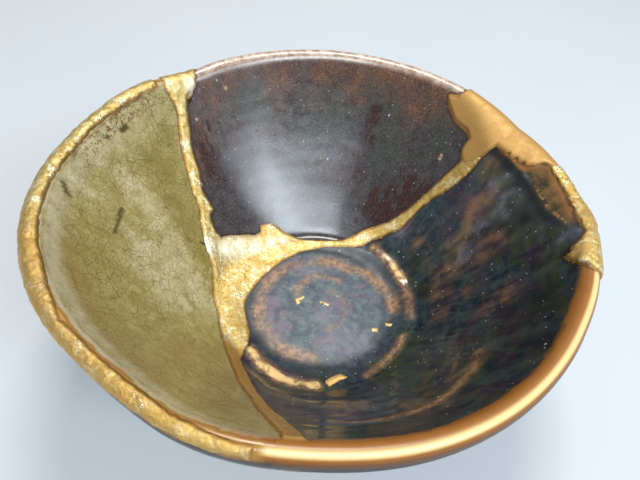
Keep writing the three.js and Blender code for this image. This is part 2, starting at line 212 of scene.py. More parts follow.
# The tenmoku's dark clouds: the glaze's own blue-black, and painted shade along the steep right wall near
# the rim.
TENMOKU_DARK_AND_SHADE = [
    (0.8, 0.13, 2.4), (0.67, 0.17, 1.4), (0.72, 0.22, 1.3), (0.78, 0.42, 1.2), (0.74, 0.5, 1.2),
    (0.8, 0.38, 1.1), (0.83, 0.3, 1.1), (0.85, 0.2, 1.2), (0.46, 0.22, 1.6), (0.5, 0.05, 1.6),
    (0.0, -0.5, 2.0), (0.16, -0.52, 2.2), (0.82, -0.3, 3.0), (0.75, -0.5, 3.0),
]
IRON_RUST = [
    (0.403, 0.803, 2.6), (0.44, 0.76, 2.0), (0.35, 0.86, 2.4), (-0.565, 0.638, 2.6), (-0.5, 0.72, 2.4),
    (-0.3, 0.83, 3.0), (-0.1, 0.9, 3.0), (0.1, 0.9, 3.0), (-0.58, 0.5, 1.8), (-0.56, 0.42, 1.8),
]
IRON_RED = [
    (-0.527, 0.52, 1.8), (-0.48, 0.56, 1.5), (-0.424, 0.593, 1.6), (-0.35, 0.63, 1.2), (-0.289, 0.658, 1.5),
    (-0.192, 0.692, 1.3), (-0.26, 0.6, 1.2), (-0.079, 0.626, 1.4), (0.0, 0.6, 1.5), (0.07, 0.65, 1.4),
    (0.178, 0.719, 1.4), (0.158, 0.627, 1.7), (0.12, 0.55, 1.6), (0.375, 0.509, 2.4), (0.45, 0.5, 2.2),
    (0.3, 0.45, 2.2), (0.25, 0.5, 1.6), (-0.55, 0.45, 1.6), (-0.52, 0.4, 1.4), (0.19, 0.78, 1.2),
]
IRON_GREEN = [
    (-0.343, 0.681, 3.0), (-0.014, 0.799, 3.4), (0.299, 0.675, 3.0), (0.529, 0.666, 2.6), (0.2, 0.85, 2.6),
    (-0.1, 0.72, 2.4), (-0.45, 0.66, 2.2), (0.5, 0.6, 2.0), (0.3, 0.78, 2.2),
]
# Single spots, as places in the cup's own frame and radii in millimetres
IRON_SPOTS = [((-20.3, 27.6, 34.2), 0.5), ((21.3, 23.4, 27.2), 0.5), ((21.5, 23.8, 27.7), 0.42)]
IRON_BUBBLE = ((-24.6, 21.5, 30.9), 0.45)
CRACKLE_BLOOM = [
    (-0.897, 0.115, 1.8), (-0.87, 0.24, 2.0), (-0.833, 0.36, 2.0), (-0.78, 0.45, 1.8),
    (-0.731, 0.521, 1.5), (-0.791, 0.134, 1.6), (-0.74, 0.1, 1.8), (-0.677, 0.08, 2.0), (-0.6, 0.02, 2.0),
    (-0.541, -0.03, 2.0), (-0.49, -0.08, 1.8), (-0.434, -0.15, 2.0), (-0.633, -0.16, 3.0),
    (-0.524, -0.218, 2.6), (-0.58, -0.1, 2.4), (-0.9, -0.05, 1.6), (-0.7, -0.08, 2.4),
]
CRACKLE_OLIVE = [
    (-0.681, 0.3, 2.4), (-0.586, 0.14, 1.7), (-0.532, 0.1, 1.6), (-0.491, 0.058, 1.4), (-0.56, 0.2, 1.6),
    (-0.754, 0.26, 1.4), (-0.62, 0.22, 1.8), (-0.66, 0.19, 1.4), (-0.72, 0.4, 1.2), (-0.52, 0.16, 1.2),
]
CRACKLE_OCHRE = [
    (-0.86, -0.33, 2.6), (-0.82, -0.42, 2.4), (-0.77, -0.5, 2.4), (-0.691, -0.58, 2.4), (-0.6, -0.66, 2.6),
    (-0.5, -0.72, 2.6), (-0.42, -0.62, 3.0), (-0.347, -0.42, 2.6), (-0.28, -0.58, 3.0), (-0.45, -0.5, 3.0),
    (-0.406, -0.763, 2.4), (-0.25, -0.75, 2.4),
]
# Short dark strokes in the crackle glaze: two ends on the plan and a half width in millimetres
CRACKLE_STROKES = [
    ((-0.787, 0.0), (-0.777, -0.118), 0.26), ((-0.845, 0.27), (-0.833, 0.306), 0.24),
    ((-0.927, -0.1), (-0.906, -0.13), 0.3), ((-0.905, 0.262), (-0.898, 0.28), 0.2),
    ((-0.88, 0.19), (-0.872, 0.21), 0.18), ((-0.52, 0.12), (-0.5, 0.125), 0.25),
]

# How finely the visible surface is divided, and about how long the lip and the wall are in the section
SHERD_COLUMNS = 480
SHERD_STEP = 0.55
GOLD_COLUMNS = 1120
GOLD_STEP = 0.225
LIP_LENGTH = 8
WALL_LENGTH = 33
OUTSIDE_ENDS = 0.075  # the outside leaves out this share of the wall at either end
FIRST_AZIMUTH = -95  # the columns start in the near joint, so no sherd has the seam of the azimuths in it
CUT_INSET = 0.5  # the glaze reaches this far under the gold


# Noise and small curves


NOISE_GAIN = 1.6  # brings the noise to about -1 to 1


def lattice_noise(points, size, seed):
    """Smooth noise from -1 to 1 whose bumps are about `size` apart."""
    draws = np.random.default_rng(seed)
    shuffled = draws.permutation(256)
    slopes = draws.normal(size=(256, 3))
    slopes /= np.linalg.norm(slopes, axis=1, keepdims=True)
    scaled = points / size
    cell = np.floor(scaled).astype(np.int64)
    inside = scaled - cell
    eased = inside**3 * (inside * (inside * 6 - 15) + 10)
    total = np.zeros(len(points))
    for corner in np.ndindex(2, 2, 2):
        x, y, z = ((cell + corner) & 255).T
        slope = slopes[shuffled[(shuffled[(shuffled[x] + y) & 255] + z) & 255]]
        weight = np.prod(np.where(corner, eased, 1 - eased), axis=1)
        total += weight * np.sum(slope * (inside - corner), axis=1)
    return total * NOISE_GAIN


def fractal(points, size, seed, octaves=3, gain=0.5):
    return sum(gain**i * lattice_noise(points, size / 2**i, seed + i) for i in range(octaves))


def smooth(value, low, high):
    share = np.clip((value - low) / (high - low), 0, 1)
    return share * share * (3 - 2 * share)


def lerp(a, b, share):
    return a + (b - a) * share


# The cup's section


def bump(azimuth, centre, half_angle):
    away = np.abs((azimuth - centre + 180) % 360 - 180)
    return np.where(away < half_angle, (1 + np.cos(np.pi * away / half_angle)) / 2, 0)


def flare_at(azimuth):
    return np.minimum(1, FLARE_FULLNESS * bump(azimuth, FLARE_AZIMUTH, FLARE_HALF_ANGLE))


def rim_wobble(azimuth):
    radius = FLARE_REACH * bump(azimuth, FLARE_AZIMUTH, FLARE_HALF_ANGLE)
    height = np.zeros_like(radius)
    for centre, half_angle, out, up in RIM_WOBBLE:
        radius = radius + out * RIM_RADIUS * bump(azimuth, centre, half_angle)
        height = height + up * RIM_RADIUS * bump(azimuth, centre, half_angle)
    return radius, height


def well_shift(radius):
    share = 1 - np.asarray(radius, float) / RIM_RADIUS
    return np.stack([WELL_OFFSET[0] * share, WELL_OFFSET[1] * share], -1)


def well_height(radius):
    """The well's floor: a soft ring inside the groove, the groove, and the ridge outside it."""
    knots = GROOVE_RADIUS + GROOVE_SPACING / 2 * np.array([-2, -0.8, 0, 1, 2])
    lifts = [0, 0.2 * RING_RELIEF, -0.3 * RING_RELIEF, 2 * RING_RELIEF, WELL_RISE]
    return WELL_HEIGHT + np.interp(radius, knots, lifts)


def along_line(corners, step):
    corners = np.array(corners, float)
    lengths = np.linalg.norm(np.diff(corners, axis=0), axis=1)
    at = np.concatenate([[0], np.cumsum(lengths)])
    count = max(2, int(round(at[-1] / step)))
    places = np.linspace(0, at[-1], count + 1)
    return np.stack([np.interp(places, at, corners[:, k]) for k in (0, 1)], -1)


def section(azimuth, step):
    """The section's [radius, height] from the well's middle over the lip to the foot's middle, for each
    azimuth, and the row numbers where the wall, the lip, the outside and the foot begin."""
    flare = flare_at(azimuth)[:, None]
    wobble_out, wobble_up = (value[:, None] for value in rim_wobble(azimuth))
    count = len(azimuth)

    shift = smooth(bump(azimuth, *BACK_WALL_PLACE), 0, 0.7)[:, None] * BACK_WALL_SHIFT
    well_radius = np.linspace(0, WELL_RADIUS, int(WELL_RADIUS / step) + 1)[:-1]
    outer = np.clip((well_radius - WELL_FLAT_RADIUS) / (WELL_RADIUS - WELL_FLAT_RADIUS), 0, 1) ** 2
    well = np.stack([well_radius, well_height(well_radius)], -1) - outer[:, None] * shift[:, None]

    share = np.linspace(0, 1, int(LIP_LENGTH / step) + 1)
    angle = np.radians(lerp(LIP_INNER_ANGLE, 0, share))
    rounded = (RIM_RADIUS - LIP_WIDTH / 2 * (1 - np.cos(angle)), HEIGHT - LIP_DROP * (1 - np.sin(angle)))
    flange = (
        RIM_RADIUS - FLANGE_WIDTH * (1 - share) ** 2,
        HEIGHT - CREASE_DROP + FLANGE_RISE * np.sin(FLANGE_TURN * np.pi * share),
    )
    lip = np.stack([lerp(rounded[k], flange[k], flare) for k in (0, 1)], -1)

    start = np.array([WELL_RADIUS, WELL_HEIGHT + WELL_RISE])
    end = lip[:, 0]
    bend = start + (end - start) * WALL_BEND
    start = start - shift
    t = np.linspace(0, 1, int(WALL_LENGTH / step) + 1)[None, :, None]
    wall = (1 - t) ** 2 * start[:, None] + 2 * t * (1 - t) * bend[:, None] + t**2 * end[:, None]
    slope = 2 * (1 - t) * (bend - start)[:, None] + 2 * t * (end - bend)[:, None]
    slope /= np.linalg.norm(slope, axis=-1, keepdims=True)
    outside = wall + WALL_THICKNESS * np.stack([slope[..., 1], -slope[..., 0]], -1)
    ends = int(OUTSIDE_ENDS * t.shape[1])
    outside = outside[:, ends:-ends][:, ::-1]

    inner = FOOT_RADIUS - FOOT_RING_WIDTH
    foot = along_line(
        [
            (FOOT_RADIUS, FOOT_HEIGHT), (FOOT_RADIUS, FOOT_BEVEL), (FOOT_RADIUS - FOOT_BEVEL, 0),
            (inner + FOOT_BEVEL, 0), (inner, FOOT_BEVEL), (inner - FOOT_BEVEL, FOOT_HEIGHT - FOOT_BEVEL),
            (inner - 3 * FOOT_BEVEL, FOOT_HEIGHT), (0, FOOT_HEIGHT),
        ],
        step,
    )
    foot = np.broadcast_to(foot, (count, *foot.shape))
    parts = [well, wall[:, :-1], lip, outside, foot]
    rows = np.cumsum([0] + [part.shape[1] for part in parts])
    plain = np.concatenate(parts, 1)
    radius, height = plain[..., 0], plain[..., 1]
    pull = smooth(radius, WELL_RADIUS, RIM_RADIUS)
    plain = np.stack([radius + pull * wobble_out, height + pull * wobble_up], -1)
    # The corners between the parts are softened, the foot's least.
    often = int(SOFTENED_CORNER / step) ** 2 + 1
    for times, first, last in ((often, 1, rows[4] - 2), (1, rows[4] - 1, plain.shape[1] - 1)):
        for _ in range(times):
            middle = plain[:, first:last]
            around = (plain[:, first - 1 : last - 1] + plain[:, first + 1 : last + 1]) / 2
            plain[:, first:last] = lerp(middle, around, 0.5)
    plain[:, 0, 0] = 0
    return plain, rows


def surface(columns, step):
    """The plain skin of the cup as a grid of columns round it and rows along its section."""
    azimuth = FIRST_AZIMUTH + 360 * np.arange(columns) / columns
    profile, rows = section(azimuth, step)
    radius, height = profile[..., 0], profile[..., 1]
    turn = np.radians(azimuth)[:, None]
    middle = well_shift(radius)
    x = middle[..., 0] + radius * np.cos(turn)
    y = middle[..., 1] + radius * np.sin(turn)
    points = np.stack([x, y, height], -1)
    round_cup = np.roll(points, -1, 0) - np.roll(points, 1, 0)
    normals = np.cross(np.gradient(points, axis=1), round_cup)
    normals /= np.maximum(np.linalg.norm(normals, axis=-1, keepdims=True), 1e-9)
    normals[:, 0] = (0, 0, 1)
    normals[:, -1] = (0, 0, -1)
    steps = np.linalg.norm(np.diff(profile, axis=1), axis=-1)
    arc = np.concatenate([np.zeros((columns, 1)), np.cumsum(steps, 1)], 1)
    return {
        "azimuth": azimuth,
        "radius": radius,
        "points": points,
        "normals": normals,
        "arc": arc,
        "lip": arc - arc[:, rows[2]][:, None],
        "rows": rows,
    }


# The breaks on the plan


def on_plan(corners):
    return np.array([(x * RIM_RADIUS, y * RIM_RADIUS) for x, y, *_ in corners])


def joint_outline(stations, gap, count=72):
    line = np.array([(x, y) for x, y, _ in stations])
    widths = np.array([width for *_, width in stations])
    at = np.linspace(0, len(line) - 1, count + 1)
    first = np.minimum(at.astype(int), len(line) - 2)
    half = lerp(widths[first], widths[first + 1], at - first) * JOINT_WIDTH / 2
    place, along = curve(line * RIM_RADIUS, count)
    middle = well_shift(GROOVE_RADIUS)
    from_well = place - middle
    distance = np.linalg.norm(from_well, axis=1)
    place = middle + from_well * (np.maximum(distance, GROOVE_RADIUS + half) / distance)[:, None]
    aside = np.stack([-along[:, 1], along[:, 0]], -1) * (half + gap)[:, None]
    return np.concatenate([place + aside, (place - aside)[::-1]])


def curve(points, count):
    at = np.linspace(0, len(points) - 1, count + 1)
    first = np.minimum(at.astype(int), len(points) - 2)
    t = (at - first)[:, None]
    before = points[np.maximum(first - 1, 0)]
    after = points[np.minimum(first + 2, len(points) - 1)]
    a, b = points[first], points[first + 1]
    v0, v1 = (b - before) / 2, (after - a) / 2
    cubic, square = 2 * a - 2 * b + v0 + v1, -3 * a + 3 * b - 2 * v0 - v1
    place = cubic * t**3 + square * t**2 + v0 * t + a
    along = 3 * cubic * t**2 + 2 * square * t + v0
    return place, along / np.linalg.norm(along, axis=1, keepdims=True)


def patch_outline(corners, gap):
    outline = on_plan(corners)
    before, after = np.roll(outline, 1, 0), np.roll(outline, -1, 0)
    area = np.sum(outline[:, 0] * after[:, 1] - outline[:, 1] * after[:, 0])
    along = after - before
    along *= np.sign(area) * gap / np.linalg.norm(along, axis=1, keepdims=True)
    return outline + np.stack([along[:, 1], -along[:, 0]], -1)


def inside_distance(points, outline):
    """How far inside a closed outline each point of the plan lies, negative outside it."""
    x, y = points[:, 0], points[:, 1]
    nearest = np.full(len(points), 1e9)
    inside = np.zeros(len(points), bool)
    for (ax, ay), (bx, by) in zip(outline, np.roll(outline, -1, 0)):
        dx, dy = bx - ax, by - ay
        length = dx * dx + dy * dy
        if length < 1e-12:
            continue
        share = np.clip(((x - ax) * dx + (y - ay) * dy) / length, 0, 1)
        nearest = np.minimum(nearest, (x - ax - share * dx) ** 2 + (y - ay - share * dy) ** 2)
        crosses = (ay > y) != (by > y)
        if dy != 0:
            inside ^= crosses & (x < ax + (y - ay) * dx / dy)
    return np.where(inside, 1, -1) * np.sqrt(nearest)


def patch_at(points, places):
    """From 0 to 1 where a soft round patch lies, for places of x, y and radius."""
    left = np.ones(len(points))
    for x, y, radius in places:
        away = np.hypot(points[:, 0] - x * RIM_RADIUS, points[:, 1] - y * RIM_RADIUS)
        left *= 1 - np.exp(-((away / radius) ** 2))
    return 1 - left


def cloud_at(points, places, seed):
    """Soft patches whose shape is broken up by noise."""
    moved = points.copy()
    for axis in (0, 1):
        moved[:, axis] += 1.3 * fractal(points, 4.5, seed + axis, 3)
    torn = patch_at(moved, places) * (1 + 0.45 * fractal(points, 2.2, seed + 5, 3))
    return np.clip(torn, 0, 1)


def line_distance(points, line):
    """The distance on the plan from an open line."""
    x, y = points[:, 0], points[:, 1]
    nearest = np.full(len(points), 1e9)
    for (ax, ay), (bx, by) in zip(line[:-1], line[1:]):
        dx, dy = bx - ax, by - ay
        share = np.clip(((x - ax) * dx + (y - ay) * dy) / (dx * dx + dy * dy), 0, 1)
        nearest = np.minimum(nearest, (x - ax - share * dx) ** 2 + (y - ay - share * dy) ** 2)
    return np.sqrt(nearest)


def stroke_at(points, start, end, half):
    away = line_distance(points, on_plan([start, end]))
    return smooth(away + 0.12 * lattice_noise(points, 0.8, 61), half * 1.5, half * 0.6)


def thrown_arcs(points, inner):
    """The height and the amber colour of the raised arcs in the bowl."""
    height, amber = np.zeros(len(points)), np.zeros(len(points))
    uneven = fractal(points, 3.5, 41, 3)
    for places, half, lift, strength in THROWN_ARCS:
        places = np.array(places, float)
        turn = np.radians(places[:, 0])
        line = well_shift(places[:, 1]) + places[:, 1:] * np.stack([np.cos(turn), np.sin(turn)], -1)
        line, _ = curve(line, 8 * len(line))
        away = line_distance(points, line) / (half * (1 + 0.25 * uneven))
        height = height + lift * np.exp(-(away**2))
        broken = np.clip(0.85 + 0.7 * lattice_noise(points, 4.5, 47) + 0.4 * uneven, 0.15, 1)
        amber = np.maximum(amber, strength * np.exp(-(away**2.6)) * broken)
    return height * inner, np.clip(amber, 0, 1) * inner


# Where the gold lies. Each gives the distance inside it on the skin.


def ragged(points):
    """The small wandering of the gold's edges."""
    return 0.14 * lattice_noise(points, 1.5, 101) + 0.08 * lattice_noise(points, 0.6, 102)


def pits(points):
    """How far the worn places eat into the gold."""
    return 1.5 * patch_at(points, GOLD_PITS)


def joint_depth(points):
    depth = inside_distance(points[:, :2], on_plan(GOLD_NET))
    from_well = np.linalg.norm(points[:, :2] - well_shift(GROOVE_RADIUS), axis=1) - GROOVE_RADIUS
    below = points[:, 2] < WELL_HEIGHT - WEB_DEPTH
    return np.where(below, np.minimum(depth, from_well), depth) + ragged(points)


def fill_depth(points):
    return inside_distance(points[:, :2], on_plan(GOLD_FILL)) + 0.7 * ragged(points) - pits(points)


def chip_depth(points):
    depth = inside_distance(points[:, :2], on_plan(GOLD_CHIP)) + 1.6 * ragged(points) - pits(points)
    return np.minimum(depth, points[:, 2] - (HEIGHT - CHIP_DEPTH) + 2 * ragged(points))


def band_depth(points):
    azimuth = np.degrees(np.arctan2(points[:, 1], points[:, 0]))
    low = HEIGHT - lerp(BAND_DEPTH, NEAR_BAND_DEPTH, bump(azimuth, *LOW_BAND_PLACE))
    depth = inside_distance(points[:, :2], on_plan(GOLD_BAND)) + ragged(points) - pits(points)
    return np.minimum(depth, points[:, 2] - low + 1.5 * ragged(points))


def fleck_depth(points):
    depths = [inside_distance(points[:, :2], on_plan(fleck)) for fleck in GOLD_FLECKS]
    return np.maximum.reduce(depths) + 0.5 * ragged(points) - 9 * (points[:, 2] < WELL_HEIGHT - 1)


GOLD_DEPTHS = (joint_depth, fill_depth, chip_depth, band_depth)

# Meshes

node_points = np.array([v.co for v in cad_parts["tenmoku_sherd_with_foot"].data.vertices])
standing = node_points[node_points[:, 2] < 1e-5] / MM
foot_centre = (standing.min(0) + standing.max(0)) / 2
GROUP_SHIFT = np.array([*(foot_centre[:2] - well_shift(FOOT_RADIUS - FOOT_BEVEL)), 0])


def make_mesh(name, points, faces):
    """A mesh object from points in the cup's own frame. The faces are lists of equal length."""
    mesh = bpy.data.meshes.new(name)
    mesh.vertices.add(len(points))
    mesh.vertices.foreach_set("co", ((points + GROUP_SHIFT) * MM).astype(np.float32).ravel())
    loops = np.concatenate([np.asarray(group).ravel() for group in faces])
    sizes = np.concatenate([np.full(len(group), np.asarray(group).shape[1]) for group in faces])
    mesh.loops.add(len(loops))
    mesh.loops.foreach_set("vertex_index", loops.astype(np.int32))
    mesh.polygons.add(len(sizes))
    starts = np.concatenate([[0], np.cumsum(sizes)[:-1]])
    mesh.polygons.foreach_set("loop_start", starts.astype(np.int32))
    mesh.update(calc_edges=True)
    mesh.validate()
    made = bpy.data.objects.new(name, mesh)
    bpy.context.scene.collection.objects.link(made)
    return made


def points_of(obj):
    co = np.zeros(len(obj.data.vertices) * 3, np.float32)
    obj.data.vertices.foreach_get("co", co)
    return co.reshape(-1, 3).astype(float) / MM - GROUP_SHIFT


def closed_bowl(name, points):
    """The grid of the whole skin as one closed mesh."""
    columns, rows = points.shape[:2]
    number = np.arange(columns * (rows - 2)).reshape(columns, rows - 2)
    following = np.roll(number, -1, 0)
    quads = np.stack([number[:, :-1], number[:, 1:], following[:, 1:], following[:, :-1]], -1).reshape(-1, 4)
    top, bottom = columns * (rows - 2), columns * (rows - 2) + 1
    fan_top = np.stack([np.full(columns, top), number[:, 0], following[:, 0]], -1)
    fan_bottom = np.stack([np.full(columns, bottom), following[:, -1], number[:, -1]], -1)
    skin = np.concatenate([points[:, 1:-1].reshape(-1, 3), points[:, [0, -1]].mean(0)])
    return make_mesh(name, skin, [quads, fan_top, fan_bottom])


def prism(outline, low, high=2.0 * HEIGHT):
    count = len(outline)
    if np.sum(outline[:, 0] * np.roll(outline[:, 1], -1) - outline[:, 1] * np.roll(outline[:, 0], -1)) < 0:
        outline = outline[::-1]
    ends = [np.column_stack([outline, np.full(count, height)]) for height in (low, high)]
    number = np.arange(count)
    after = np.roll(number, -1)
    sides = np.stack([number, after, after + count, number + count], -1)
    return make_mesh("cutter", np.concatenate(ends), [sides, number[None, ::-1], (number + count)[None]])


def boolean(target, cutter, operation):
    modifier = target.modifiers.new("cut", "BOOLEAN")
    modifier.object = cutter
    modifier.operation = operation
    modifier.solver = "MANIFOLD"
    evaluated = target.evaluated_get(bpy.context.evaluated_depsgraph_get())
    result = bpy.data.meshes.new_from_object(evaluated)
    target.modifiers.clear()
    target.data = result
    bpy.data.objects.remove(cutter)


def loose_parts(obj):
    """The part's number of each vertex, numbered from the largest part down."""
    edges = np.zeros(len(obj.data.edges) * 2, np.int32)
    obj.data.edges.foreach_get("vertices", edges)
    edges = edges.reshape(-1, 2)
    label = np.arange(len(obj.data.vertices))
    while True:
        lowest = np.minimum(label[edges[:, 0]], label[edges[:, 1]])
        new = label.copy()
        np.minimum.at(new, edges[:, 0], lowest)
        np.minimum.at(new, edges[:, 1], lowest)
        new = new[new]
        if np.array_equal(new, label):
            break
        label = new
    _, part, counts = np.unique(label, return_inverse=True, return_counts=True)
    rank = np.argsort(np.argsort(-counts))
    return rank[part]


def take_part(obj, name, part_of, which):
    """A new object from one loose part."""
    mesh = obj.data
    loops = np.zeros(len(mesh.loops), np.int32)
    mesh.loops.foreach_get("vertex_index", loops)
    starts = np.zeros(len(mesh.polygons), np.int32)
    mesh.polygons.foreach_get("loop_start", starts)
    totals = np.diff(np.append(starts, len(loops)))
    chosen = part_of[loops[starts]] == which
    number = np.cumsum(part_of == which) - 1
    groups = []
    for size in np.unique(totals[chosen]):
        picked = starts[chosen & (totals == size)]
        groups.append(number[loops[picked[:, None] + np.arange(size)]])
    return make_mesh(name, points_of(obj)[part_of == which], groups)


def lay(obj, name, values):
    """A value, or a vector, at each point of a mesh."""
    values = np.asarray(values, np.float32)
    kind, field = ("FLOAT", "value") if values.ndim == 1 else ("FLOAT_VECTOR", "vector")
    attribute = obj.data.attributes.new(name, kind, "POINT")
    attribute.data.foreach_set(field, values.ravel())


SHIFT_ROUNDS = 6  # after these the radius round the shifted middle has settled
BATCH = 20000


def grid_place(grid, points):
    """The nearest column and row of a grid for each point."""
    radius = np.hypot(points[:, 0], points[:, 1])
    for _ in range(SHIFT_ROUNDS):
        radius = np.linalg.norm(points[:, :2] - well_shift(radius), axis=1)
    offset = points[:, :2] - well_shift(radius)
    azimuth = np.degrees(np.arctan2(offset[:, 1], offset[:, 0]))
    columns = len(grid["azimuth"])
    column = np.round((azimuth - FIRST_AZIMUTH) % 360 * columns / 360).astype(int) % columns
    row = np.zeros(len(points), int)
    for start in range(0, len(points), BATCH):
        part = slice(start, start + BATCH)
        away = (grid["radius"][column[part]] - radius[part, None]) ** 2
        away += (grid["points"][column[part], :, 2] - points[part, 2][:, None]) ** 2
        row[part] = away.argmin(1)
    return column, row


# The three sherds. Each has about its middle on the plan, how far round the cup and down its wall count in
# its streaks, the spacing and height of its throwing rings, the height of its dimples, and its clouds.

SHERDS = {
    "tenmoku": {
        "middle": (0.35, -0.3),
        "flow": (10, 1.0),
        "rings": (3.6, 0.02),
        "dimples": 0.02,
        "clouds": {"rust": TENMOKU_RUST, "painted_sheen": TENMOKU_PAINTED_SHEEN, "dark": TENMOKU_DARK_AND_SHADE},
    },
    "iron": {
        "middle": (0, 0.6),
        "flow": (30, 0.45),
        "rings": (3.1, 0.003),
        "dimples": 0.004,
        "clouds": {"rust": IRON_RUST, "red": IRON_RED, "green": IRON_GREEN},
    },
    "crackle": {
        "middle": (-0.55, -0.2),
        "flow": (30, 1.0),
        "rings": (3.3, 0.02),
        "dimples": 0.012,
        "clouds": {"bloom": CRACKLE_BLOOM, "olive": CRACKLE_OLIVE, "ochre": CRACKLE_OCHRE},
    },
}
RUN = (30, 0.28)  # as flow, for the long runs of glaze
SWELL_HEIGHT = 0.06
SWELL_SIZE = 14


def swell(grid):
    """The slow unevenness of the whole skin."""
    points = grid["points"].reshape(-1, 3)
    glazed = smooth(grid["points"][..., 2], FOOT_HEIGHT, FOOT_HEIGHT + 3)
    middle = smooth(grid["radius"], 0.3, 2)
    waves = fractal(points, SWELL_SIZE, 21, 2).reshape(grid["radius"].shape)
    return SWELL_HEIGHT * waves * glazed * middle


def sherd_relief(kind, grid, column, row):
    """How far each sherd's own glaze stands out from the swelling skin, at the places of its points."""
    points = grid["points"][column, row]
    radius = grid["radius"][column, row]
    outside = row >= grid["rows"][3]
    spacing, ring_height = SHERDS[kind]["rings"]
    turn = grid["arc"][column, row] / spacing + grid["azimuth"][column] / 360
    rings = ring_height * np.sin(2 * np.pi * turn + 2.2 * fractal(points, 9, 11, 2))
    rings = rings * smooth(radius, WELL_RADIUS + 1, WELL_RADIUS + 5) * np.where(outside, 1.5, 1)
    lip = grid["lip"][column, row]
    off_lip = 1 - smooth(lip, -1.5, 0) * smooth(lip, 9, 7)
    dimples = SHERDS[kind]["dimples"] * fractal(points, 2.4, 31, 2)
    arcs, _ = thrown_arcs(points, ~outside & (kind == "tenmoku"))
    glazed = smooth(points[:, 2], FOOT_HEIGHT, FOOT_HEIGHT + 2)
    return (rings + dimples) * glazed * off_lip * smooth(radius, 0.3, 2) + arcs


def move(obj, offsets):
    places = points_of(obj) + offsets + GROUP_SHIFT
    obj.data.vertices.foreach_set("co", (places * MM).astype(np.float32).ravel())
    obj.data.update()


def streaks(counts, turn, arc):
    """Places in which noise runs in streaks down the wall."""
    around, down = counts
    return np.stack([around * np.cos(turn), around * np.sin(turn), down * arc], -1) * MM


def break_bowl(bowl):
    """Cuts the bowl along the joints and the lost bits of the rim."""
    beneath = -HEIGHT
    web = prism(patch_outline(WEB, -CUT_INSET), beneath)
    turn = np.radians(np.arange(0, 360, 3))
    ring = np.stack([np.cos(turn), np.sin(turn)], -1)
    core = well_shift(GROOVE_RADIUS) + (GROOVE_RADIUS + CUT_INSET) * ring
    boolean(web, prism(core, -2 * HEIGHT, WELL_HEIGHT - WEB_DEPTH), "DIFFERENCE")
    cutters = [
        prism(joint_outline(LONG_JOINT, -CUT_INSET), beneath),
        prism(joint_outline(BRANCH_JOINT, -CUT_INSET), beneath),
        web,
        prism(patch_outline(RIM_FILL, -CUT_INSET), beneath),
        prism(patch_outline(RIM_CHIP, -CUT_INSET), HEIGHT - CHIP_DEPTH + CUT_INSET),
    ]
    for cutter in cutters:
        boolean(bowl, cutter, "DIFFERENCE")


def paint_sherd(sherd, kind, grid, points, column, row):
    """Lays the measures that the glaze's material reads on the sherd."""
    outside = row >= grid["rows"][3] - 2
    azimuth = grid["azimuth"][column]
    turn = np.radians(azimuth)
    arc = grid["arc"][column, row]
    lay(sherd, "section_radius", grid["radius"][column, row])
    lay(sherd, "flow", streaks(SHERDS[kind]["flow"], turn, arc))
    lay(sherd, "run", streaks(RUN, turn, arc))
    lay(sherd, "lip", grid["lip"][column, row])
    lay(sherd, "outside", outside)
    lay(sherd, "height", points[:, 2])
    lay(sherd, "flare", flare_at(azimuth))
    lay(sherd, "gold_near", np.maximum.reduce([depth(points) for depth in GOLD_DEPTHS]))
    lay(sherd, "bare_lip", 1 - smooth(band_depth(points), -1.6, -0.6))
    for number, (name, places) in enumerate(SHERDS[kind]["clouds"].items()):
        lay(sherd, name, cloud_at(points, places, 50 + 7 * number) * ~outside)
    if kind == "tenmoku":
        lay(sherd, "amber", thrown_arcs(points, ~outside)[1])
    if kind == "crackle":
        strokes = [stroke_at(points, *stroke) for stroke in CRACKLE_STROKES]
        lay(sherd, "stroke", np.maximum.reduce(strokes) * ~outside)
        lay(sherd, "pale_line", bump(azimuth, *PALE_LINE_PLACE) ** 0.3)
        lay(sherd, "speckled", bump(azimuth, *SPECKLED_PLACE) ** 0.5)


def make_sherds():
    grid = surface(SHERD_COLUMNS, SHERD_STEP)
    bowl = closed_bowl("bowl", grid["points"] + grid["normals"] * swell(grid)[..., None])
    break_bowl(bowl)
    part_of = loose_parts(bowl)
    found = {}
    for which in range(len(SHERDS)):
        sherd = take_part(bowl, f"sherd_{which}", part_of, which)
        points = points_of(sherd)
        middle = (points.min(0) + points.max(0))[:2] / 2 / RIM_RADIUS
        kind = min(SHERDS, key=lambda name: math.dist(middle, SHERDS[name]["middle"]))
        column, row = grid_place(grid, points)
        relief = sherd_relief(kind, grid, column, row)
        move(sherd, grid["normals"][column, row] * relief[:, None])
        paint_sherd(sherd, kind, grid, points, column, row)
        finish_mesh(sherd, sharp_angle=55)
        found[kind] = sherd
    bpy.data.objects.remove(bowl)
    return found


def finish_mesh(obj, sharp_angle):
    obj.data.shade_smooth()
    obj.data.set_sharp_from_angle(angle=math.radians(sharp_angle))


# The gold. Its thickness, and the heights of its slow waves, its lumps, its crumpling and its grain

GOLD_RELIEF = {
    "joint": (0.22, 0, 0.04, 0.025, 0.02),
    "fill": (0.34, 0.05, 0, 0, 0.006),
    "chip": (0.42, 0, 0.13, 0.05, 0.05),
    "band": (0.24, 0, 0.1, 0.08, 0.02),
    "fleck": (0.12, 0, 0, 0, 0.05),
}
RIPPLE_AZIMUTH = math.radians(86)
RIPPLE_LENGTH = 1.55
RIPPLE_HEIGHT = 0.035
GOLD_BACK = 1.1  # how far the shell's back lies inside the wall
GOLD_MARGIN = 0.85  # how far the shell goes on under the glaze, past the gold's edge
FLUSH = 0.015  # the gold's height where the near lip's glaze covers it
EDGE_DIVE = 0.55  # how far the shell's edge dips under the glaze
COARSE = 4
NOT_NEAR = -2.5
NO_GOLD = -9.0


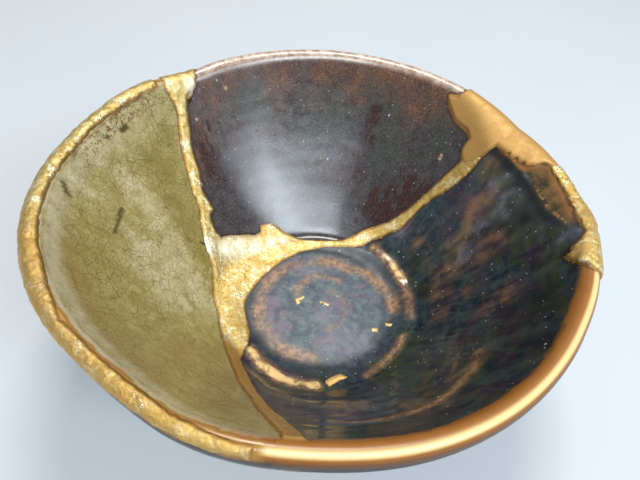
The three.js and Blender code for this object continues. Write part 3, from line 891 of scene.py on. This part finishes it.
def gold_height(kind, grid, where, depth):
    """How far the gold stands out from the swelling skin."""
    points = grid["points"][where]
    thickness, wave, lump, crumple, grain = GOLD_RELIEF[kind]
    height = thickness + wave * lattice_noise(points, 4, 131) + lump * fractal(points, 2.6, 111, 3)
    height += crumple * (1 - 2 * np.abs(fractal(points, 1.5, 141, 3)))
    height += grain * lattice_noise(points, 0.5, 121)
    if kind == "joint":
        along = points[:, 0] * math.cos(RIPPLE_AZIMUTH) + points[:, 1] * math.sin(RIPPLE_AZIMUTH)
        far = smooth(points[:, 1], 6, 9) * smooth(points[:, 0], -17, -19)
        ripples = np.sin(2 * np.pi * (along / RIPPLE_LENGTH + 0.8 * lattice_noise(points, 2.4, 151)))
        height += RIPPLE_HEIGHT * ripples * far
    return height * smooth(depth, -0.12, 0.5) - EDGE_DIVE * smooth(depth, -0.05, -0.6)


def amber_lip(grid):
    """Where the near joint runs under the amber glaze of the lip."""
    near = smooth(bump(grid["azimuth"], *NEAR_SEAM_PLACE), 0.05, 0.3)[:, None]
    return near * smooth(grid["lip"], 0.1, 1.1) * smooth(grid["lip"], 9.5, 8.0)


def make_gold(grid, kind, name, depth_of):
    """A closed shell of gold, whose face stands proud of the glaze, whose edge dips under it and whose back
    is inside the wall."""
    points, normals = grid["points"], grid["normals"]
    columns, rows = points.shape[:2]
    # The depth is first measured on every fourth point, then finely wherever gold may be near.
    few = points[::COARSE, ::COARSE]
    near = (depth_of(few.reshape(-1, 3)) > NOT_NEAR).reshape(few.shape[:2])
    near = near.repeat(COARSE, 0).repeat(COARSE, 1)[:columns, :rows]
    moves = [(by, axis) for by in (COARSE, -COARSE) for axis in (0, 1)]
    near = near | np.logical_or.reduce([np.roll(near, *move) for move in moves])
    depth = np.full((columns, rows), NO_GOLD)
    depth[near] = depth_of(points[near])
    inside = depth > -GOLD_MARGIN
    following = np.roll(inside, -1, 0)
    cells = inside[:, :-1] & inside[:, 1:] & following[:, :-1] & following[:, 1:]
    cells[:, 0] = False
    used = np.zeros((columns, rows), bool)
    for sideways in (0, 1):
        used[:, :-1] |= np.roll(cells, sideways, 0)
        used[:, 1:] |= np.roll(cells, sideways, 0)
    number = np.full((columns, rows), -1)
    number[used] = np.arange(used.sum())
    flush = amber_lip(grid)[used] if kind == "joint" else np.zeros(used.sum())
    lift = grid["swell"][used] + lerp(gold_height(kind, grid, used, depth[used]), FLUSH, flush)
    face = points[used] + normals[used] * lift[:, None]
    back = points[used] - normals[used] * GOLD_BACK
    after = np.roll(number, -1, 0)
    quads = np.stack([number[:, :-1], number[:, 1:], after[:, 1:], after[:, :-1]], -1)[cells]
    count = len(face)
    # A side wall closes each edge that only one cell has.
    ends = np.concatenate([quads[:, [k, (k + 1) % 4]] for k in range(4)])
    keys = ends.min(1).astype(np.int64) * count + ends.max(1)
    _, first, times = np.unique(keys, return_index=True, return_counts=True)
    rim = ends[first[times == 1]]
    sides = np.stack([rim[:, 1], rim[:, 0], rim[:, 0] + count, rim[:, 1] + count], -1)
    made = make_mesh(name, np.concatenate([face, back]), [quads, quads[:, ::-1] + count, sides])
    lay(made, "depth", np.tile(depth[used], 2))
    lay(made, "silver_and_highlight", np.tile(patch_at(points[used], SILVER_AND_HIGHLIGHT_PATCHES), 2))
    lay(made, "lip", np.tile(grid["lip"][used], 2))
    lay(made, "amber_lip", np.tile(flush, 2))
    # The gold is browner at the front and, less so, on the right.
    aged = smooth(-points[used][:, 1], 11, 16) + 0.45 * smooth(points[used][:, 0], 0, 7)
    lay(made, "aged", np.tile(aged, 2))
    finish_mesh(made, sharp_angle=80)
    return made


# Materials. Colours are 0 to 255 in sRGB, and a pair is mottled together.

TENMOKU = {
    "body": ((20, 30, 40), (46, 62, 66)),
    "plum": (54, 40, 54),
    "moss": (50, 58, 34),
    "green run": (66, 76, 68),
    "ink run": (12, 18, 32),
    "dusty run": (90, 84, 78),
    "brown streak": (92, 70, 48),
    "dark": (15, 21, 29),
    "rust": ((112, 84, 68), (140, 96, 58)),
    "milk": ((56, 72, 82), (92, 106, 108)),
    "milk plum": (112, 88, 104),
    "milk blue": (40, 54, 76),
    "milk cream": (132, 122, 102),
    "groove": ((18, 30, 42), (46, 62, 70)),
    "painted_sheen": (116, 118, 134),
    "thin amber": ((116, 76, 52), (186, 138, 88)),
    # A painted highlight on the crests of the thrown arcs
    "crest": (238, 198, 134),
    "flange": ((44, 34, 20), (106, 80, 42)),
    "flange by the gold": (142, 92, 44),
    "gold bits": (186, 132, 66),
    # Painted shade in the crease below the flange
    "crease": (16, 13, 10),
    "outside": ((26, 23, 24), (66, 42, 26)),
    "small bubbles": (190, 196, 200),
    "large bubbles": (206, 196, 178),
    "lacquer edge": (44, 24, 16),
    "clay": ((104, 78, 58), (140, 110, 84)),
}
IRON = {
    "body": ((44, 36, 40), (66, 60, 62)),
    "green": (52, 60, 50),
    "pale grain": (116, 106, 92),
    "dark grain": (28, 24, 26),
    "rust": ((84, 50, 32), (138, 92, 60)),
    "deep red": ((24, 8, 6), (68, 32, 20)),
    "pits": (38, 22, 20),
    # The lip's pale pink is a painted highlight along the rim's roll.
    "lip": ((164, 134, 116), (222, 196, 172)),
    "outer lip": (166, 116, 66),
    "small bubbles": (186, 170, 150),
    "large bubbles": (214, 196, 168),
    "spot": (206, 164, 128),
    "broken bubble": (190, 170, 150),
    "lacquer edge": (52, 26, 20),
    "outside": ((50, 36, 32), (84, 58, 44)),
}
CRACKLE = {
    "body": ((144, 128, 68), (166, 151, 94)),
    "cloud": (140, 124, 62),
    "ochre": (138, 110, 56),
    "olive": (122, 108, 46),
    "bloom": (196, 184, 144),
    "pale grain": (206, 192, 150),
    "crackle line": (92, 66, 30),
    "dark speck": (86, 66, 40),
    "pale speck": (216, 206, 176),
    "edge bloom": (200, 194, 168),
    "edge specks": (112, 70, 40),
    "stroke": (78, 66, 24),
    "lip": ((144, 98, 36), (180, 132, 60)),
    "pale line": (184, 168, 150),
    "brown line": (112, 62, 28),
    "outside": ((28, 20, 14), (56, 42, 26)),
    "low outside": ((96, 82, 46), (126, 110, 66)),
    "low crackle": (56, 40, 22),
    "lacquer edge": (70, 44, 22),
}
NEAR_LIP = {
    "amber": ((136, 82, 20), (160, 100, 32)),
    # The top is a painted highlight along the crest of the lip.
    "top": (236, 202, 138),
    "outer": (96, 54, 14),
    "foot": (30, 16, 8),
}
AGED_GOLD = (222, 172, 92)
SILVER_AND_HIGHLIGHT_GOLD = (255, 250, 226)
FOLD_GLINT = (255, 244, 204)
LEAF_HIGHLIGHT = (255, 246, 216)
FLOOR = ((196, 199, 202), (206, 208, 210))


class Look:
    """A node material, whose colour is built up in base. Its methods add nodes and give back a socket."""

    def __init__(self, name, palette=()):
        self.palette = palette
        self.material = bpy.data.materials.new(name)
        self.material.use_nodes = True
        self.tree = self.material.node_tree
        self.shader = self.tree.nodes["Principled BSDF"]
        self.place = self.add("ShaderNodeTexCoord").outputs["Object"]
        self.base = None

    def add(self, kind, inputs=(), **settings):
        node = self.tree.nodes.new(kind)
        for key, value in settings.items():
            setattr(node, key, value)
        for key, value in dict(inputs).items():
            self.put(node.inputs[key], value)
        return node

    def put(self, socket, value):
        if isinstance(value, bpy.types.NodeSocket):
            self.tree.links.new(value, socket)
        else:
            socket.default_value = value

    def painted(self, *names):
        """The values laid on the mesh under these names."""
        return [self.add("ShaderNodeAttribute", attribute_name=name).outputs["Fac"] for name in names]

    def painted_vector(self, name):
        return self.add("ShaderNodeAttribute", attribute_name=name).outputs["Vector"]

    def noise(self, size, detail=3, rough=0.5, warp=0.0, vector=None):
        inputs = {
            "Vector": vector or self.place,
            "Scale": 1 / (size * MM),
            "Detail": detail,
            "Roughness": rough,
            "Distortion": warp,
        }
        return self.add("ShaderNodeTexNoise", inputs).outputs["Fac"]

    def warped(self, amount, size):
        """Places moved about by noise, for lines that wander."""
        noise = self.add("ShaderNodeTexNoise", {"Vector": self.place, "Scale": 1 / (size * MM), "Detail": 2})
        moved = self.vectors("SUBTRACT", {0: noise.outputs["Color"], 1: (0.5, 0.5, 0.5)})[0]
        scaled = self.vectors("SCALE", {0: moved, "Scale": amount * MM})[0]
        return self.vectors("ADD", {0: self.place, 1: scaled})[0]

    def crackle(self, size, vector, line, strength):
        """Lines between cells of that size, up to that share of a cell wide."""
        inputs = {"Vector": vector, "Scale": 1 / (size * MM)}
        edge = self.add("ShaderNodeTexVoronoi", inputs, feature="DISTANCE_TO_EDGE").outputs["Distance"]
        return edge, self.step(edge, *line, strength, 0)

    def specks(self, size, radius, share):
        """Small round spots of up to that radius, in that share of the cells."""
        node = self.add("ShaderNodeTexVoronoi", {"Vector": self.place, "Scale": 1 / (size * MM)})
        chance = self.add("ShaderNodeSeparateColor", {0: node.outputs["Color"]}).outputs[0]
        reach = self.step(chance, 1 - share, 1, 0, radius / size)
        return self.step(self.math("SUBTRACT", reach, node.outputs["Distance"]), 0, 0.05)

    def near(self, place, radius):
        """1 at a place in the cup's own frame, fading to 0 at that distance."""
        there = tuple((np.array(place) + GROUP_SHIFT) * MM)
        away = self.vectors("DISTANCE", {0: self.place, 1: there})["Value"]
        return self.step(away, 0.4 * radius * MM, radius * MM, 1, 0)

    def vectors(self, operation, inputs):
        return self.add("ShaderNodeVectorMath", inputs, operation=operation).outputs

    def math(self, operation, a, b):
        return self.add("ShaderNodeMath", {0: a, 1: b}, operation=operation).outputs[0]

    def times(self, *values):
        product = values[0]
        for value in values[1:]:
            product = self.math("MULTIPLY", product, value)
        return product

    def step(self, value, low, high, to_low=0.0, to_high=1.0):
        inputs = {0: value, 1: low, 2: high, 3: to_low, 4: to_high}
        return self.add("ShaderNodeMapRange", inputs, interpolation_type="SMOOTHSTEP").outputs[0]

    def ridge(self, value, low, rise, fall, high):
        """A band that is 1 between rise and fall, and 0 below low and above high."""
        return self.times(self.step(value, low, rise), self.step(value, fall, high, 1, 0))

    def wavy(self, value, size, amount, detail=4, rough=0.6):
        """A measure that wanders by up to that amount, so that its edges aren't straight."""
        return self.math("ADD", value, self.step(self.noise(size, detail, rough), 0.3, 0.7, -amount, amount))

    def mix_value(self, share, a, b):
        return self.add("ShaderNodeMix", {0: share, 2: a, 3: b}, data_type="FLOAT").outputs[0]

    def mix(self, share, a, b):
        inputs = {0: share, 6: self.colour(a), 7: self.colour(b)}
        return self.add("ShaderNodeMix", inputs, data_type="RGBA").outputs[2]

    def mottled(self, name, share):
        """The palette's pair of that name, mixed."""
        return self.mix(share, *self.palette[name])

    def colour(self, value):
        """A colour as a socket takes it, from its name in the palette or its values."""
        if isinstance(value, bpy.types.NodeSocket):
            return value
        if isinstance(value, str):
            value = self.palette[value]
        linear = [(c / 255 / 12.92) if c <= 10 else ((c / 255 + 0.055) / 1.055) ** 2.4 for c in value]
        return (*linear, 1.0)

    def over(self, paint, *masks):
        """Lays a colour over the base where all the masks are 1."""
        self.base = self.mix(self.times(*masks), self.base, paint)

    def bumps(self, height, distance, normal=None):
        inputs = {"Height": height, "Distance": distance * MM}
        if normal:
            inputs["Normal"] = normal
        return self.add("ShaderNodeBump", inputs).outputs["Normal"]

    def finish(self, **values):
        for key, value in {"Base_Color": self.base, **values}.items():
            self.put(self.shader.inputs[key.replace("_", " ")], value)
        return self.material


def lip_amber(look, lip):
    """The amber of the glaze on the near lip, which has a painted highlight along its top and darkens on its
    outer side.
    """
    amber = look.mix(look.noise(2.6, 4, 0.6), *NEAR_LIP["amber"])
    amber = look.mix(look.ridge(lip, 1.8, 2.45, 2.75, 3.3), amber, NEAR_LIP["top"])
    amber = look.mix(look.step(lip, 3.2, 4.0), amber, NEAR_LIP["outer"])
    return look.mix(look.step(lip, 3.9, 5.0), amber, NEAR_LIP["foot"])


def tenmoku_look():
    look = Look("tenmoku glaze", TENMOKU)
    radius, lip, outside, height, flare = look.painted("section_radius", "lip", "outside", "height", "flare")
    rust, painted_sheen, dark, amber, gold_near = look.painted("rust", "painted_sheen", "dark", "amber", "gold_near")
    mottle = look.noise(1.6, 7, 0.68, 0.6)
    flow = look.noise(2.4, 5, 0.6, 0.8, look.painted_vector("flow"))
    fine_flow = look.noise(0.7, 4, 0.65, 0.4, look.painted_vector("flow"))
    run = look.noise(2.0, 4, 0.55, 0.6, look.painted_vector("run"))
    in_bowl = look.step(lip, 0.4, -0.6)
    out = look.step(outside, 0.4, 0.6)

    look.base = look.mottled("body", look.step(mottle, 0.34, 0.66))
    look.over("plum", look.step(look.noise(8, 4, 0.6, 0.8), 0.48, 0.6), 0.8)
    look.over("moss", look.step(look.noise(9.5, 4, 0.6, 0.8, look.warped(5, 17)), 0.48, 0.62), 0.85)
    look.over("green run", look.step(run, 0.46, 0.66), 0.4)
    look.over("ink run", look.step(run, 0.52, 0.36), 0.45)
    look.over("dusty run", look.step(fine_flow, 0.52, 0.74), 0.25)
    look.over("brown streak", look.step(flow, 0.52, 0.66), look.step(radius, 17, 23, 0, 0.22))
    # Blue-black glaze, and painted shade on the steep right wall near the rim
    look.over("dark", dark, 0.8)
    rusty = look.mottled("rust", look.step(mottle, 0.4, 0.6))
    look.over(rusty, rust, look.step(run, 0.36, 0.6, 0.35, 1), 0.7)

    # The flat of the well is milky, with darker pools in it, and the groove round it is dark.
    milk = look.mottled("milk", look.step(mottle, 0.36, 0.64))
    milk = look.mix(look.step(look.noise(4, 5, 0.6, 0.8), 0.48, 0.6, 0, 0.7), milk, "milk plum")
    pools = look.noise(2.6, 5, 0.6, 0.9, look.warped(3, 7))
    milk = look.mix(look.step(pools, 0.5, 0.62, 0, 0.7), milk, "milk blue")
    milk = look.mix(look.step(pools, 0.42, 0.32, 0, 0.6), milk, "milk cream")
    look.over(milk, look.step(radius, 12.6, 11.2), 0.92)
    groove = look.mottled("groove", look.step(mottle, 0.4, 0.62))
    look.over(groove, look.ridge(radius, 11.8, 12.8, 14.6, 16.2), 0.85)
    # Painted sheen: pale reflections on the glaze, laid into its colour
    look.over("painted_sheen", painted_sheen, look.step(mottle, 0.34, 0.66, 0.25, 0.6))

    # The glaze is thin and amber on the thrown arcs, and palest on their crests, where the cream is a
    # painted highlight.
    warm = look.mottled("thin amber", look.step(look.noise(0.9, 5, 0.64), 0.36, 0.62))
    crest = look.times(look.step(amber, 0.6, 0.95), look.step(radius, 14.5, 15.5))
    warm = look.mix(look.times(crest, look.step(mottle, 0.3, 0.55)), warm, "crest")
    look.over(warm, amber, look.step(mottle, 0.3, 0.6, 0.65, 1))

    # The rolled lip is amber inside, with a painted highlight along its top, and darkens to brown on its
    # outer side.
    wavy = look.wavy(lip, 5, 0.45)
    roll = look.times(look.ridge(wavy, -0.7, 0.7, 6.2, 8.2), look.step(flare, 0.2, 0.02))
    look.over(lip_amber(look, lip), roll)

    # Where the rim swells out, a flat brown band lies above a deep crease, which is darkened with painted
    # shade.
    flange = look.mottled("flange", look.step(look.noise(2.2, 5, 0.62), 0.35, 0.65))
    flange = look.mix(look.step(gold_near, -1.8, -0.1, 0, 0.8), flange, "flange by the gold")
    bits = look.step(look.noise(0.8, 4, 0.7), 0.53, 0.62)
    bits = look.times(look.ridge(lip, -0.1, 0.2, 0.4, 0.8), bits, 0.8)
    flange = look.mix(bits, flange, "gold bits")
    look.over(flange, look.step(flare, 0.35, 0.75), look.ridge(wavy, -0.2, 0.4, 6.2, 7.6))
    look.over("crease", look.step(flare, 0.3, 0.7), look.ridge(lip, -2.4, -0.9, -0.5, 0.3), 0.85)

    look.over(look.mottled("outside", look.step(flow, 0.42, 0.6)), out, look.step(lip, 6, 8))
    # Bubbles in the glaze, lightened as painted glints
    look.over("small bubbles", look.specks(0.8, 0.15, 0.45), in_bowl, 0.7)
    look.over("large bubbles", look.specks(2.3, 0.24, 0.25), in_bowl, 0.8)
    look.over("lacquer edge", look.step(gold_near, -0.55, -0.1), 0.7)

    # The glaze stops in a wavy line above the foot.
    bare = look.times(out, look.step(look.wavy(height, 5, 1.2, 3, 0.5), 6.9, 6.6))
    look.over(look.mottled("clay", look.noise(1.1, 6, 0.7)), bare)

    rough = look.step(mottle, 0.3, 0.7, 0.1, 0.18)
    rough = look.mix_value(look.step(radius, 16.5, 14.5), rough, 0.42)
    rough = look.mix_value(roll, rough, 0.35)
    return look.finish(
        Roughness=look.math("ADD", rough, look.times(bare, 0.6)),
        IOR=1.55,
        Specular_IOR_Level=look.step(lip, 3.8, 5.2, 0.5, 0.2),
        Normal=look.bumps(look.noise(0.8, 4, 0.6), 0.014, look.bumps(look.specks(0.8, 0.13, 0.3), 0.02)),
    )


def iron_look():
    look = Look("iron glaze", IRON)
    radius, lip, outside, gold_near = look.painted("section_radius", "lip", "outside", "gold_near")
    rust, red, green = look.painted("rust", "red", "green")
    grain = look.noise(0.32, 5, 0.7)
    mottle = look.noise(1.9, 7, 0.66, 0.5)

    look.base = look.mottled("body", look.step(mottle, 0.34, 0.66))
    look.over("green", green, look.step(mottle, 0.3, 0.65, 0.45, 0.9))
    look.over("pale grain", look.step(grain, 0.5, 0.66, 0, 0.45))
    look.over("dark grain", look.step(grain, 0.46, 0.34, 0, 0.5))
    brown = look.mottled("rust", look.step(grain, 0.34, 0.62))
    far = look.math("MAXIMUM", look.times(rust, 0.7), look.step(radius, 33.5, 38.5, 0, 0.8))
    look.over(brown, far, look.step(look.noise(3.4, 6, 0.66), 0.34, 0.6, 0.35, 1))

    # Deep red streaks, drawn down the wall and torn
    flow = look.noise(0.62, 4, 0.62, 0.3, look.painted_vector("flow"))
    clumps = look.noise(2.6, 3, 0.5, 0.4, look.painted_vector("run"))
    torn = look.step(look.mix_value(0.45, flow, clumps), 0.45, 0.51)
    torn = look.math("MAXIMUM", torn, look.step(grain, 0.56, 0.64))
    deep = look.mottled("deep red", look.step(grain, 0.4, 0.6))
    look.over(deep, look.step(red, 0.05, 0.6), torn, 0.95)
    look.over("pits", look.step(look.noise(0.45, 3, 0.6), 0.6, 0.68), look.step(mottle, 0.4, 0.6), 0.5)

    # The lip's pale pink band is a painted highlight along the rim's roll; its outer side is tan.
    edge = look.mottled("lip", look.step(look.noise(1.2, 4, 0.6), 0.35, 0.65))
    edge = look.mix(look.step(lip, 3.0, 4.2), edge, "outer lip")
    look.over(edge, look.ridge(lip, -0.3, 1.4, 6.0, 8.0), 0.9)
    # Bubbles in the glaze, lightened as painted glints
    look.over("small bubbles", look.specks(0.75, 0.14, 0.4), 0.7)
    look.over("large bubbles", look.specks(2.2, 0.25, 0.35), 0.85)
    for place, size in IRON_SPOTS:
        look.over("spot", look.near(place, size), 0.6)
    look.over("broken bubble", look.near(*IRON_BUBBLE), 0.6)
    look.over("lacquer edge", look.step(gold_near, -0.5, -0.12), 0.75)
    outer = look.mottled("outside", look.step(mottle, 0.36, 0.64))
    look.over(outer, look.step(outside, 0.4, 0.6), look.step(lip, 6, 8))
    return look.finish(
        Roughness=look.step(mottle, 0.3, 0.7, 0.155, 0.225),
        IOR=1.6,
        Normal=look.bumps(grain, 0.016, look.bumps(look.specks(0.75, 0.14, 0.4), 0.03)),
    )


def crackle_look():
    look = Look("crackle glaze", CRACKLE)
    lip, height, bare_lip, gold_near = look.painted("lip", "height", "bare_lip", "gold_near")
    bloom, olive, ochre, stroke, pale_line, speckled = look.painted(
        "bloom", "olive", "ochre", "stroke", "pale_line", "speckled"
    )
    grain = look.noise(0.3, 5, 0.7)
    mottle = look.noise(2.2, 6, 0.62, 0.4)

    look.base = look.mottled("body", look.step(mottle, 0.34, 0.66))
    look.over("cloud", look.step(look.noise(7, 4, 0.6, 0.6), 0.45, 0.62, 0, 0.5))
    look.over("ochre", ochre, look.step(mottle, 0.3, 0.7, 0.6, 1), 0.8)
    look.over("olive", olive, 0.75)
    look.over("bloom", bloom, look.step(mottle, 0.3, 0.66, 0.35, 0.85))
    look.over("pale grain", look.step(grain, 0.5, 0.7, 0, 0.25))

    # Three sizes of crackle, the smallest fading in and out
    small, lines = look.crackle(0.95, look.warped(0.35, 1.3), (0.01, 0.055), 1)
    lines = look.times(lines, look.step(look.noise(6, 3, 0.6), 0.36, 0.6, 0.22, 0.6))
    _, wide_lines = look.crackle(2.1, look.warped(0.7, 2.5), (0.004, 0.026), 0.5)
    _, long_lines = look.crackle(3.6, look.warped(1.2, 4), (0.004, 0.018), 0.6)
    all_lines = look.math("MAXIMUM", look.math("MAXIMUM", lines, long_lines), wide_lines)
    look.over("crackle line", all_lines)
    look.over("dark speck", look.specks(1.4, 0.22, 0.3), 0.6)
    look.over("pale speck", look.specks(3.4, 0.4, 0.25), 0.6)

    # Along the gold band the glaze is paler, with a row of brown specks.
    edge_bloom = look.times(look.ridge(lip, -4.2, -1.2, -0.2, 0.8), look.step(mottle, 0.3, 0.62, 0.2, 0.5))
    look.over("edge bloom", edge_bloom, pale_line)
    row = look.times(look.ridge(lip, -2.6, -1.6, -0.1, 0.8), speckled)
    look.over("edge specks", row, look.step(look.noise(0.5, 3, 0.6), 0.52, 0.6))
    look.over("stroke", stroke)

    # The lip: a pale line, a brown one, then amber up to the gold
    wavy = look.wavy(lip, 4, 0.25)
    amber = look.mottled("lip", look.noise(1.2, 4, 0.6))
    amber = look.mix(bare_lip, amber, lip_amber(look, lip))
    look.over(amber, look.step(wavy, 1.0, 1.5))
    look.over(amber, bare_lip, look.step(wavy, 0.2, 1.0))
    look.over("pale line", look.ridge(wavy, 0.35, 0.7, 0.95, 1.3), pale_line, 0.6)
    look.over("brown line", look.ridge(wavy, 1.2, 1.4, 1.5, 1.75), 0.45)

    outer = look.mottled("outside", look.noise(2.5, 5, 0.6))
    lower = look.mottled("low outside", look.step(mottle, 0.35, 0.65))
    lower = look.mix(lines, lower, "low crackle")
    outer = look.mix(look.step(height, 30, 24), outer, lower)
    look.over(outer, look.step(wavy, 3.6, 4.4))
    look.over("lacquer edge", look.step(gold_near, -0.4, -0.1), look.step(lip, 0.6, 0.2), 0.6)

    sunk = look.times(look.step(small, 0, 0.07), look.step(lip, 0.0, 0.8, 1, 0))
    return look.finish(
        Roughness=look.step(mottle, 0.3, 0.7, 0.16, 0.3),
        IOR=1.5,
        Specular_IOR_Level=look.step(lip, 3.8, 5.2, 0.5, 0.2),
        Normal=look.bumps(sunk, 0.012, look.bumps(grain, 0.01)),
    )


def gold_look(name, bright, dull, dark, rough, grain, metal, pale):
    """Gold between a bright and a dull tone, with dark folds and, in that share, pale ones: painted glints
    on the folds and painted highlights in patches.
    """
    look = Look(name)
    silver_and_highlight, amber_lip, depth, aged, lip = look.painted("silver_and_highlight", "amber_lip", "depth", "aged", "lip")
    patches = look.noise(2.0, 6, 0.66, 0.6)
    crumpled = look.noise(0.38, 5, 0.72, 0.8)
    look.base = look.mix(look.step(patches, 0.36, 0.64), dull, bright)
    look.over(dark, look.step(crumpled, 0.52, 0.66), 0.6)
    # Painted glints on the crumpled folds and painted highlights in patches
    if pale:
        look.over(FOLD_GLINT, look.step(crumpled, 0.46, 0.34, 0, pale))
        look.over(LEAF_HIGHLIGHT, look.step(patches, 0.54, 0.64, 0, pale))
    look.over(AGED_GOLD, aged, 0.6)
    look.over(dark, look.step(depth, 0.42, 0.05, 0, 0.7))
    # Near-white leaf with less metal: a painted highlight on the web, a silvery tone at the top of the long
    # joint
    look.over(SILVER_AND_HIGHLIGHT_GOLD, silver_and_highlight, look.step(patches, 0.3, 0.6, 0.5, 0.9))
    look.over(lip_amber(look, lip), amber_lip)
    roughness = look.step(patches, 0.3, 0.7, rough + 0.1, rough - 0.08)
    metallic = look.step(silver_and_highlight, 0.2, 0.9, metal, 0.5 * metal)
    return look.finish(
        Metallic=look.times(look.step(amber_lip, 0, 1, 1, 0), metallic),
        Roughness=look.mix_value(amber_lip, roughness, 0.35),
        Normal=look.bumps(look.times(crumpled, look.step(amber_lip, 0, 0.6, 1, 0)), grain),
    )


def floor_look():
    look = Look("pale floor")
    look.base = look.mix(look.noise(60, 3), *FLOOR)
    return look.finish(Roughness=0.75, Normal=look.bumps(look.noise(1.2, 3), 0.02))


# The pieces


def dress(piece, look, slot, *nodes):
    piece.data.materials.clear()
    piece.data.materials.append(look)
    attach(piece, "root")
    if nodes:
        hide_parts(*nodes)


sherds = make_sherds()
for kind, name, look, slot, node in (
    ("tenmoku", "tenmoku_bowl_and_foot", tenmoku_look(), "tenmoku_glaze", "tenmoku_sherd_with_foot"),
    ("iron", "iron_glaze_wall", iron_look(), "iron_glaze", "iron_glaze_sherd"),
    ("crackle", "crackle_glaze_wall", crackle_look(), "crackle_glaze", "crackle_glaze_sherd"),
):
    sherds[kind].name = name
    dress(sherds[kind], look, slot, node)

leaf = gold_look(
    "gold leaf", (238, 214, 146), (214, 176, 92), (146, 96, 36),
    rough=0.34, grain=0.14, metal=0.9, pale=0.55,
)
grained = gold_look(
    "grained gold leaf", (255, 230, 154), (236, 190, 100), (128, 80, 26),
    rough=0.36, grain=0.16, metal=0.85, pale=0.8,
)
fleck_leaf = gold_look(
    "gold leaf flecks", (252, 232, 178), (238, 208, 142), (200, 160, 92),
    rough=0.42, grain=0.05, metal=0.5, pale=0.4,
)
powder = gold_look(
    "gold powder", (180, 139, 80), (169, 127, 69), (146, 102, 52),
    rough=0.55, grain=0.02, metal=0.4, pale=0,
)
gold_grid = surface(GOLD_COLUMNS, GOLD_STEP)
gold_grid["swell"] = swell(gold_grid)
for kind, name, depth_of, look, slot, nodes in (
    ("joint", "gold_joint_leaf", joint_depth, leaf, "gold_leaf", ["gold_joint"]),
    ("fill", "gold_fill_powder", fill_depth, powder, "gold_powder", ["gold_rim_fill"]),
    ("chip", "gold_chip_leaf", chip_depth, grained, "gold_leaf", ["gold_rim_chip"]),
    ("band", "gold_band_leaf", band_depth, leaf, "gold_leaf", ["gold_rim_band"]),
    ("fleck", "gold_flecks", fleck_depth, fleck_leaf, "gold_leaf", []),
):
    dress(make_gold(gold_grid, kind, name, depth_of), look, slot, *nodes)

# The floor, the light and the camera

FLOOR_REACH = 900
floor_corners = [(-1, -1, 0), (1, -1, 0), (1, 1, 0), (-1, 1, 0)]
floor = make_mesh("floor", FLOOR_REACH * np.array(floor_corners, float), [[(0, 1, 2, 3)]])
floor.data.materials.append(floor_look())

BOWL_MIDDLE = (0, 0, 25)


def direction(azimuth, elevation):
    a, e = math.radians(azimuth), math.radians(elevation)
    return Vector((math.cos(e) * math.cos(a), math.cos(e) * math.sin(a), math.sin(e)))


def in_scene(place):
    return Vector((np.array(place) + GROUP_SHIFT) * MM)


def soft_light(name, azimuth, elevation, distance, facing, size, power, tint):
    """A flat panel at that place, turned as if it lay at the azimuth `facing`."""
    light = bpy.data.lights.new(name, "AREA")
    light.shape = "RECTANGLE"
    light.size, light.size_y = size[0] * MM, size[1] * MM
    light.energy = power
    light.color = tint
    lamp = bpy.data.objects.new(name, light)
    lamp.location = in_scene(BOWL_MIDDLE) + direction(azimuth, elevation) * distance * MM
    lamp.rotation_mode = "QUATERNION"
    lamp.rotation_quaternion = direction(facing, elevation).to_track_quat("Z", "Y")
    bpy.context.scene.collection.objects.link(lamp)


soft_light(
    "front light",
    azimuth=-50, elevation=47, distance=570, facing=-90,
    size=(640, 117), power=3.7, tint=(0.81, 0.91, 1),
)
soft_light(
    "back light",
    azimuth=88, elevation=71, distance=420, facing=88,
    size=(130, 110), power=1.0, tint=(1, 0.99, 0.95),
)

SKY_COLOUR = (0.86, 0.93, 1, 1)
SKY_STRENGTH = 0.4
world = bpy.data.worlds.new("studio")
world.use_nodes = True
sky = world.node_tree.nodes["Background"].inputs
sky["Color"].default_value = SKY_COLOUR
sky["Strength"].default_value = SKY_STRENGTH
bpy.context.scene.world = world
bpy.context.scene.view_settings.view_transform = "Standard"

CAMERA_PLACE = (-0.05, -61.36, 94.22)
CAMERA_AIM = (0.35, -10.72, 38)
CAMERA_ROLL = 7.22
CAMERA_SENSOR = 36
CAMERA_LENS = 31.5
camera = bpy.data.cameras.new("camera")
camera.sensor_width = CAMERA_SENSOR
camera.lens = CAMERA_LENS
camera.clip_start = 4 * MM
viewer = bpy.data.objects.new("camera", camera)
place = in_scene(CAMERA_PLACE)
ahead = (in_scene(CAMERA_AIM) - place).normalized()
right = ahead.cross(Vector((0, 0, 1))).normalized()
above = right.cross(ahead)
roll = math.radians(CAMERA_ROLL)
turned_right = math.cos(roll) * right + math.sin(roll) * above
turned_above = -math.sin(roll) * right + math.cos(roll) * above
axes = Matrix((turned_right, turned_above, -ahead)).transposed()
viewer.matrix_world = Matrix.Translation(place) @ axes.to_4x4()
bpy.context.scene.collection.objects.link(viewer)
bpy.context.scene.camera = viewer
